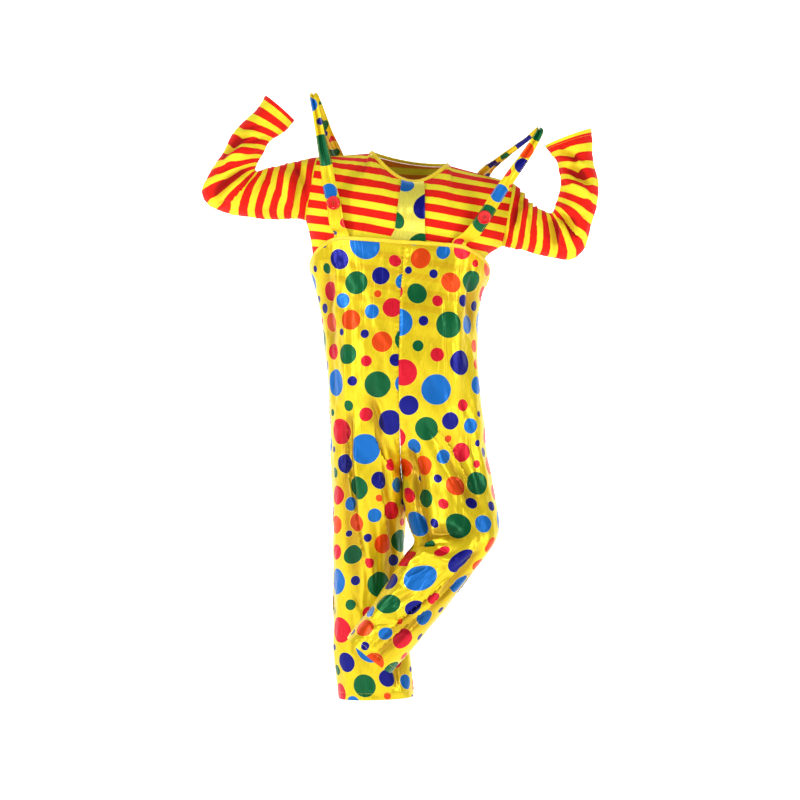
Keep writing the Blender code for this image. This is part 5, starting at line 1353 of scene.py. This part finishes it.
def sleeve(name):
    """One sleeve as a ring of columns, with its creases, gathers, cuff hem and flat cut."""
    shape = SLEEVES[name]
    table, side = shape["table"], shape["side"]
    share = np.linspace(-1, 1, SLEEVE_COLUMNS, endpoint=False)[None, :]
    row = ((len(table) - 1) * crowded(SLEEVE_ROWS, 0.5))[:, None]
    smooth = tube(table, share, row)
    normal = outward(lambda s, r: tube(table, s, r), share, row, -side)
    _, lift = folded(smooth, normal, shape["folds"])
    tuck, hidden = tucked(smooth, normal, side, ELBOW_TUCKS[name])
    fine = np.linspace(0, len(table) - 1, 500)
    middle = (tube(table, np.array(0.5), fine) + tube(table, np.array(-0.5), fine)) / 2
    run = np.interp(row[:, 0], fine, arc(middle[:, None], 0)[:, 0])[:, None]
    across = arc(ringed(smooth), 1)
    across = across - across[:, SLEEVE_COLUMNS // 2, None]
    taken_up = ringed(0.9 * lift + hidden)  # the stripes step where they cross a fold
    uv = np.stack([across, run[-1] - run + CUFF_STRIPE[name] * STRIPE + taken_up], -1)
    from_cuff, across = run[-1] - run, across[:, :-1]
    on_top = np.abs(share) ** 3
    start, stop, height = GATHERS[name]
    gathered = height * on_top * np.sin(2 * math.pi * run / GATHER + 0.8 * np.sin(9 * share))
    gathered = gathered * fading(run - start, 0.02) * fading(stop - run, 0.03)
    quiet = fading(run, 0.02) * fading(from_cuff, 0.02)
    lift = quiet * (1.25 * lift + tuck + ripples(across, run, 70 + side, 0.0014, 0.035, 0.12, 1.2)) + gathered
    lift = lift + quiet * ripples(across, run, 80 + side, 0.0005, 0.015, 0.035, 1.0)
    underarm = np.abs(share) * UNDERARM
    relief = seam_relief(run, across, 0.0012, 0.0006) + seam_relief(underarm, run, 0.0010, 0.0005)
    hem = 0.0004 * (1 - fading(from_cuff - CUFF_HEM, 0.001))
    hem = hem + seam_relief(np.abs(from_cuff - CUFF_HEM), across, 0.0005, 0.0004)
    points = smooth + normal * (lift + relief * fading(run, 0.003) + hem)[..., None]
    seam = unit(np.cross(smooth[0, 0] - smooth[0, SLEEVE_COLUMNS // 2], (0, 1, 0)))
    seam = seam * np.sign(seam[0]) * side
    points[0] += seam * ARMHOLE_GAP
    walls = facing(points, -side, ring=True)
    walls[0] = unit(walls[0] - (walls[0] @ seam)[:, None] * seam)
    hem_row = int(np.abs(from_cuff[:, 0] - CUFF_HEM).argmin())
    # the fourth value is the depth by which the finish paints shade, with the seams counted extra
    return points, uv, smooth, lift + 1.5 * relief * fading(run, 0.003), walls, hem_row


sleeves, cuff_rows = {}, {}
for name in SLEEVES:
    outer, uv, smooth, lift, walls, hem_row = sleeve(name)
    sign = -SLEEVES[name]["side"]
    piece = cloth(f"jersey_sleeve_{name}", outer, uv, [jersey, jersey_back], sign, True, walls, lift)
    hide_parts(f"sleeve_{name}")
    sleeves[name], cuff_rows[name] = (piece, smooth), hem_row

# %% [markdown]
# ## Tapes, placket and straps
#
# Bias tape is folded over the raw edge, so it reads as a soft rounded lip. It is a tube that follows the
# edge, with the slight unevenness of a seam guided by hand. The placket is a strip laid over the meeting
# fronts. Each strap is one long tapered strip of satin, sewn inside the bib, raised in a free loop, and led
# over the shoulder to the back. It is pulled tight lengthwise, which rolls it into soft lengthwise folds.


# %% The tapes
def tape(name, path, up, out, width, seed):
    """A bias tape round a closed path: a rounded section that stands up from it, with slight unevenness."""
    angle = np.linspace(0, 2 * math.pi, 20, endpoint=False)
    high, deep = rounded(angle, 2.6)
    run = arc(np.concatenate([path, path[:1]])[:, None], 0)[:-1]
    around = 2 * math.pi * run / (run[-1] + run[1])
    swell = 1 + 0.10 * np.sin(23 * around + seed) * np.sin(9 * around) + 0.05 * np.sin(61 * around)
    pinch = 1 - 0.35 * np.exp(-(((high - 0.1) / 0.35) ** 2)) * (np.sin(137 * around) > 0.2)
    rise = SEAM_GAP + (width - SEAM_GAP) * (1 + high) / 2 * (1 + 0.03 * np.sin(31 * around + seed))
    reach = BINDING_THICKNESS / 2 * deep * swell * pinch
    points = path[:, None] + up[:, None] * rise[..., None] + out[:, None] * reach[..., None]
    index = ringed(np.arange(points.size // 3).reshape(points.shape[:2]))
    faces = quads(np.concatenate([index, index[:1]], 0))
    made = mesh_piece(name, points.reshape(-1, 3), faces, [tape_finish])
    return made, points


def bib_path(steps=170):
    """The dungarees' upper edge all the way round: its points, and the directions up and out of the cloth."""
    loop, ups, outs = [], [], []
    for shape in LEGS.values():
        table, edge, side = shape["table"], shape["edge"], shape["side"]
        share = np.linspace(-1, 1, 2 * steps - 1)[:-1] * -side
        point = leg(table, share, edge_row(edge, share))
        normal = outward(lambda s, r: leg(table, s, r), share, edge_row(edge, share), side)
        ahead = leg(table, share + STEP, edge_row(edge, share + STEP))
        up = unit(np.cross(normal, unit(ahead - point)))
        loop.append(point - normal * CLOTH / 2)
        ups.append(up * np.sign(up[:, 2:]))
        outs.append(normal)
    return np.concatenate(loop), np.concatenate(ups), np.concatenate(outs)


def neck_path(steps=110):
    """The shirt's neckline, and the directions in which its tape stands up and out."""
    share = np.linspace(0, 1, steps)
    front = neckline(share, {**NECK_FRONT, "depth": -NECK_FRONT["depth"]})
    point = np.concatenate([front[:-1], neckline(share[::-1], NECK_BACK)[:-1]])
    tangent = unit(np.roll(point, -1, 0) - np.roll(point, 1, 0))
    inward = point.mean(0) - point
    inward[:, 2] = np.linalg.norm(inward[:, :2], axis=1)
    up = unit(inward - tangent * (inward * tangent).sum(1, keepdims=True))
    out = unit(np.cross(tangent, up))
    return point, up, out * np.sign((out * (point - point.mean(0))).sum(1, keepdims=True))


bib_line, neck_line = bib_path(), neck_path()
bib_tape, bib_grid = tape("bib_tape", *bib_line, BINDING_WIDTH, 1.0)
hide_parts("bib_binding")
neck_tape, neck_grid = tape("neck_tape", *neck_line, BINDING_WIDTH, 2.0)
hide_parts("neck_binding")

# %% The placket
PLACKET_THICKNESS = 0.0014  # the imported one's
placket_rows = np.concatenate([np.linspace(-0.985, 0, 60, endpoint=False), np.linspace(0, PLACKET_END, 30)])
high = -placket_rows[:, None]
first = PLACKET_LOW[0] + (PLACKET_TOP[0] - PLACKET_LOW[0]) * high
last = PLACKET_LOW[1] + (PLACKET_TOP[1] - PLACKET_LOW[1]) * high
place = first + (last - first) * np.linspace(0, 1, 30)[None, :]
row = np.broadcast_to(placket_rows[:, None], place.shape)
smooth = shirt(-1, place, row)
normal = outward(lambda s, r: shirt(-1, s, r), place, row, -1)
across, down = arc(smooth, 1), arc(smooth, 0)
from_edge = np.minimum(across, across[:, -1:] - across)
relief = 0.0007 * np.exp(-((from_edge / 0.004) ** 2))
relief = relief - 0.0005 * np.exp(-(((from_edge - 0.003) / 0.0012) ** 2))
relief = relief + ripples(across, down, 90, 0.0003, 0.02, 0.08, 1.3)
outer = smooth + normal * (SEAM_GAP * 1.8 + PLACKET_THICKNESS + relief * fading(down, 0.006))[..., None]
uv = np.stack([across - across[:, -1:] / 2, down], -1)
placket = cloth("placket_strip", outer, uv, [placket_satin, placket_satin], -1, thickness=DRAWN_PLACKET)
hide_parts("placket")
placket_smooth = smooth


# %% The straps
STRAP_STEPS = 300
CHARTED = 5  # how many points across a charted row has
STRAP_ACROSS = 25  # how many the finished strap has
ACROSS = np.linspace(-0.5, 0.5, CHARTED)
BIB_PLACE = 2.2  # the row of a strap at which its print is charted from, at the bib's edge
STRAPS = {
    "right": (RIGHT_STRAP, RIGHT_STRAP_SEAT, RIGHT_LEG, RIGHT_EDGE, -1),
    "left": (LEFT_STRAP, LEFT_STRAP_SEAT, LEFT_LEG, LEFT_EDGE, 1),
}


def strap_end(table, edge, half, side, rise):
    """The points across a strap that lies against the dungarees' inside, at a height from their edge."""
    share = half * STRAP_SHARES[side][0 if half > 0 else 1]
    row = np.array(edge["corner"])
    reach = np.linalg.norm(leg(table, share + STEP, row) - leg(table, share - STEP, row)) / (2 * STEP)
    sign = 1 if side * half < 0 else -1
    places = share + sign * ACROSS * STRAP_ENDS / reach
    normal = outward(lambda s, r: leg(table, s, r), places, row, side)
    up = unit(leg(table, places, row) - leg(table, places, row + STEP))
    behind = CLOTH + SEAM_GAP + STRAP_ROOM + STRAP_THICKNESS / 2
    return leg(table, places, row) + up * rise - normal * behind


def strap_seat(share, height):
    """The points across a strap that lies on the shirt's back."""
    row = np.array(-height)
    reach = np.linalg.norm(shirt(1, share + STEP, row) - shirt(1, share - STEP, row)) / (2 * STEP)
    places = share + ACROSS * STRAP_SEAT_WIDTH / reach
    normal = outward(lambda s, r: shirt(1, s, r), places, row, 1)
    return shirt(1, places, row) + normal * (SEAM_GAP + 2 * STRAP_ROOM + STRAP_THICKNESS / 2)


def strap_rows(table, seat, body, edge, side):
    """The points across the strap at every charted row, from inside the bib to inside the back."""
    values = np.array(table)
    centre, width, across = values[:, :3], values[:, 3:4], values[:, 4:7]
    tangent = unit(np.gradient(centre, axis=0))
    across = unit(across - tangent * (across * tangent).sum(1, keepdims=True))
    free = centre[:, None] + across[:, None] * width[:, None] * ACROSS[None, :, None]
    front = [strap_end(body, edge, 1, side, rise) for rise in STRAP_TUCK]
    back = [strap_end(body, edge, -1, side, rise) for rise in reversed(STRAP_TUCK)]
    return np.stack([*front, *free, *(strap_seat(share, height) for share, height in seat), *back])


def strap(name):
    """A strap's grid in the middle of its cloth, its folds where it hangs free, and its button's place."""
    rows = strap_rows(*STRAPS[name])
    place = np.linspace(0, len(rows) - 1, STRAP_STEPS)
    line = along(rows.reshape(len(rows), -1), place).reshape(STRAP_STEPS, CHARTED, 3)
    share = np.linspace(0, CHARTED - 1, STRAP_ACROSS)
    columns = along(np.moveaxis(line, 1, 0).reshape(CHARTED, -1), share)
    points = np.moveaxis(columns.reshape(STRAP_ACROSS, STRAP_STEPS, 3), 0, 1)
    middle = STRAP_ACROSS // 2
    normal = unit(np.cross(np.gradient(points, axis=1), np.gradient(points, axis=0)))
    across, run = arc(points, 1), arc(points, 0)
    bib = run[int(np.abs(place - BIB_PLACE).argmin()), middle]
    uv = np.stack([across - across[:, -1:] / 2, run[:, middle, None] - bib + 0 * across], -1)
    side = (across / across[:, -1:] - 0.5) * 2
    first, last = len(STRAP_TUCK) + 1.5, len(STRAP_TUCK) + len(STRAPS[name][0]) - 1.0
    free = (fading(place - first, 2.5) * fading(last - place, 1.5))[:, None]
    sway = 0.16 * np.sin(run / 0.05 + len(name)) + 0.1 * np.sin(run / 0.023)
    fold = 0.0034 * np.exp(-(((side - 0.55 - sway) / 0.33) ** 2))
    fold = fold - 0.0038 * np.exp(-(((side - sway) / 0.28) ** 2))
    fold = fold + 0.0030 * np.exp(-(((side + 0.60 - 0.7 * sway) / 0.30) ** 2))
    from_edge = np.minimum(across, across[:, -1:] - across)
    hem = -0.0004 * np.exp(-(((from_edge - 0.0035) / 0.0012) ** 2))
    lift = free * (fold + ripples(across, run, 95 + len(name), 0.0006, 0.02, 0.07, 0.8))
    seat = len(STRAP_TUCK) + BUTTON_ROW
    flat = 1 - np.exp(-(((place - seat) / 0.9) ** 2))[:, None]
    lift = lift * flat + hem
    spot = int(np.abs(place - seat).argmin())
    facing_out = normal[spot, middle]
    across_button = unit(points[spot, middle + 6] - points[spot, middle - 6])
    seat_point = points[spot, middle] + facing_out * (STRAP_THICKNESS / 2)
    return points, normal, lift, uv, (seat_point, across_button, facing_out)


straps, button_seats = {}, {}
for name in STRAPS:
    points, normal, lift, uv, button_seats[name] = strap(name)
    outer = points + normal * (lift + DRAWN_STRAP / 2)[..., None]
    finishes = [strap_satin[name]] * 2
    look = {"normal": normal, "lift": lift, "thickness": DRAWN_STRAP}
    piece = cloth(f"shoulder_strap_{name}", outer, uv, finishes, 1, **look)
    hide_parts(f"strap_{name}")
    straps[name] = (piece, points)

# %% [markdown]
# ## Buttons and sewing
#
# A coat button is turned: one profile of its dished face and raised rim, swept round. Four pegs then cut the
# thread holes, and two bars of thread cross them. Every stitch that shows is a small thread capsule, set into
# the cloth along the seam's line, because a bump in the finish would not catch the light as thread does.


# %% Small solids that repeat
def many(name, places, body, faces, finish, slot_name):
    """One mesh of many copies of a small solid: each place is a point and its body's three directions."""
    origin, axes = places[:, None, :3], places[:, 3:].reshape(-1, 3, 3)
    points = origin + body @ axes
    index = faces[None] + (np.arange(len(places)) * len(body))[:, None, None]
    made = mesh_piece(name, points.reshape(-1, 3), index.reshape(-1, faces.shape[1]), [finish], sharp=80)
    return made


def capsule(length, radius):
    """A six-sided rod along the first axis, as four rings that narrow at both ends, and its faces."""
    sides = 6
    angle = np.linspace(0, 2 * math.pi, sides, endpoint=False)
    rings = np.array([
        [(place * length, girth * radius * math.cos(turn), girth * radius * math.sin(turn)) for turn in angle]
        for place, girth in ((-0.5, 0.45), (-0.36, 1.0), (0.36, 1.0), (0.5, 0.45))
    ])
    index = ringed(np.arange(4 * sides).reshape(4, sides))
    halves = np.array([(0, 1, 2, 3), (0, 3, 4, 5)])  # each end is a hexagon, closed by two four-sided faces
    faces = np.concatenate([quads(index), index[0][halves], index[-1][halves[:, ::-1]]])
    return rings.reshape(-1, 3), faces


STITCH_SPACING, STITCH_LENGTH, STITCH_RADIUS = 0.0042, 0.0030, 0.00033
STITCH_SUNK = 0.0001  # how far a stitch is drawn into the cloth
STITCH = capsule(STITCH_LENGTH, STITCH_RADIUS)


def stitches(line, normal, closed=False):
    """Places for the stitches of a run: evenly spaced along a line of points on the cloth."""
    if closed:
        line, normal = np.concatenate([line, line[:1]]), np.concatenate([normal, normal[:1]])
    run = arc(line[:, None], 0)[:, 0]
    at = np.arange(STITCH_SPACING / 2, run[-1] - STITCH_SPACING / 2, STITCH_SPACING)

    def sampled(values, places):
        return np.stack([np.interp(places, run, values[:, k]) for k in range(3)], -1)

    point, up = sampled(line, at), unit(sampled(normal, at))
    ahead = unit(sampled(line, at + 0.001) - sampled(line, at - 0.001))
    side = np.cross(up, ahead)
    wander = 0.06 * np.sin(at * 2300)[:, None]  # no stitch lies quite straight
    ahead = unit(ahead + side * wander)
    side = unit(np.cross(up, ahead))
    return np.concatenate([point - up * (STITCH_SUNK - STITCH_RADIUS * 0.5), ahead, side, up], 1)


# %% Every visible run of stitches
STRAP_HEMS = (2, -3)  # columns of a strap's grid beside its edges
STRAP_SHOWN = slice(12, -12)  # rows of it, without its sewn ends
TAPE_MIDDLE = 7  # the column of a tape's grid on its outer face
runs = {"satin": [], "jersey": [], "tape": [], "strap": []}


def on_row(name, row):
    """A row of a piece's outer grid, with its outward directions."""
    outer, normal = sewn[name]
    out = facing(outer, 1)[row]
    return outer[row], out * np.sign((out * normal[row]).sum(-1, keepdims=True))


for name, row in hem_rows.items():
    runs["satin"].append(stitches(*on_row(name, row)))
for name, row in cuff_rows.items():
    runs["jersey"].append(stitches(*on_row(f"jersey_sleeve_{name}", row), closed=True))
for name in STRAPS:
    outer, normal = (grid[STRAP_SHOWN] for grid in sewn[f"shoulder_strap_{name}"])
    for column in STRAP_HEMS:
        front, out = outer[:, column], normal[:, column]
        runs["strap"] += [stitches(front, out), stitches(front - DRAWN_STRAP * out, -out)]
for grid, (_, _, out) in ((bib_grid, bib_line), (neck_grid, neck_line)):
    runs["tape"].append(stitches(grid[:, TAPE_MIDDLE], out, closed=True))
slots = ("dotted_satin", "striped_jersey", "yellow_bias_tape", "dotted_satin")
for (kind, sewing), slot_name in zip(runs.items(), slots):
    places = np.concatenate(sewing)
    many(f"stitches_{kind}", places, *STITCH, thread_yellow, slot_name)
    print(f"{kind}: {len(places)} stitches")


# %% The buttons
# The turned profile, from under the rim up over it to the middle: shares of the radius and of the thickness.
BUTTON_PROFILE = [
    (0.70, 0.00), (0.90, 0.00), (0.965, 0.06), (1.00, 0.24), (1.00, 0.58), (0.985, 0.82), (0.95, 0.95),
    (0.90, 1.00), (0.85, 0.98), (0.81, 0.90), (0.775, 0.74), (0.73, 0.64), (0.60, 0.59), (0.40, 0.56),
    (0.20, 0.55), (0.0, 0.55),
]
BUTTON_SHARP = 40  # degrees: its edges that turn more than this stay sharp
PEG_SIDES, PEG_LOW, PEG_HIGH = 24, -0.003, 0.008
HOLE_THREADS = (-0.0004, 0.0, 0.0004)  # the threads of one bar lie side by side
HOLE_THREAD_RADIUS = 0.00028


def turned_button(name, seat, across, facing_out):
    """A button swept from a profile, with a dished face, four holes, and thread through them."""
    steps = 96
    reach = np.array([r for r, _ in BUTTON_PROFILE]) * BUTTON_RADIUS
    rise = np.array([h for _, h in BUTTON_PROFILE]) * BUTTON_THICKNESS
    up = np.cross(facing_out, across)
    angle = np.linspace(0, 2 * math.pi, steps, endpoint=False)
    ring = np.cos(angle)[:, None] * across + np.sin(angle)[:, None] * up
    rows = seat + ring[None] * reach[:-1, None, None] + facing_out * rise[:-1, None, None]
    index = ringed(np.arange(rows.shape[0] * steps).reshape(-1, steps))
    faces = [tuple(face) for face in quads(index)]
    centre_top, centre_low = rows.shape[0] * steps, rows.shape[0] * steps + 1
    faces += [(index[-1, k + 1], index[-1, k], centre_top) for k in range(steps)]
    faces += [(index[0, k], index[0, k + 1], centre_low) for k in range(steps)]
    middle = np.stack([seat + facing_out * rise[-1], seat])
    points = np.concatenate([rows.reshape(-1, 3), middle])
    faces = [tuple(int(i) for i in face[::-1]) for face in faces]
    made = mesh_piece(name, points, faces, [button_plastic], sharp=BUTTON_SHARP)

    pegs, peg_faces = [], []
    hole = np.linspace(0, 2 * math.pi, PEG_SIDES, endpoint=False)
    around = (np.cos(hole)[:, None] * across + np.sin(hole)[:, None] * up) * BUTTON_HOLE_RADIUS
    for right, high in ((-1, -1), (-1, 1), (1, -1), (1, 1)):
        centre = seat + (across * right + up * high) * BUTTON_HOLE_SPACING / 2
        low = [PEG_SIDES * len(pegs) + i for i in range(PEG_SIDES)]
        top = [i + PEG_SIDES for i in low]
        pegs += [centre + around + facing_out * end for end in (PEG_LOW, PEG_HIGH)]
        peg_faces += [tuple(low[::-1]), tuple(top)]
        peg_faces += [(low[i - 1], low[i], top[i], top[i - 1]) for i in (*range(1, PEG_SIDES), 0)]
    cutter_mesh = bpy.data.meshes.new("pegs")
    cutter_mesh.from_pydata(np.concatenate(pegs).tolist(), [], peg_faces)
    cutter = placed("pegs", cutter_mesh)
    cut = made.modifiers.new("thread holes", "BOOLEAN")
    cut.object, cut.operation, cut.solver = cutter, "DIFFERENCE", "EXACT"
    bpy.context.view_layer.update()
    finished = bpy.data.meshes.new_from_object(made.evaluated_get(bpy.context.evaluated_depsgraph_get()))
    made.modifiers.clear()
    made.data = finished
    bpy.data.objects.remove(cutter)
    finished.shade_smooth()
    finished.set_sharp_from_angle(angle=math.radians(BUTTON_SHARP))
    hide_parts(name.replace("coat_button", "button"))

    threads = []
    top = seat + facing_out * (rise[-1] + 0.0002)
    for high in (-1, 1):
        for beside in HOLE_THREADS:
            centre = top + up * (high * BUTTON_HOLE_SPACING / 2 + beside)
            threads.append(np.concatenate([centre, across, up, facing_out]))
    thread = capsule(BUTTON_HOLE_SPACING + 0.0008, HOLE_THREAD_RADIUS)
    many(name.replace("coat_button", "button_thread"), np.array(threads), *thread, thread_red, "red_plastic")


for name, (seat, across, facing_out) in button_seats.items():
    turned_button(f"coat_button_{name}", seat + facing_out * 0.0004, across, facing_out)

# %% [markdown]
# ## What each piece was cut to
#
# Each piece of cloth but the two tapes says how wide and long its cut is, so that the lengths of the
# folds can be compared with real cloth.

# %% Cuts and sizes
for name, (piece, base) in panels.items():
    declare(piece, base)
for name, (piece, base) in shirts.items():
    declare(piece, base)
for name, (piece, base) in sleeves.items():
    declare(piece, base, ring=True)
declare(placket, placket_smooth)
for name, (piece, base) in straps.items():
    declare(piece, base)
for piece, grid, rests in ((bib_tape, bib_grid, "satin_front_right"), (neck_tape, neck_grid, "jersey_back")):
    closed = ringed(grid)
    closed = np.concatenate([closed, closed[:1]], 0)
    width, length = float(arc(closed, 1)[:, -1].mean()) / 2, float(arc(closed, 0)[-1].max())
    flat_area(closed) / 2
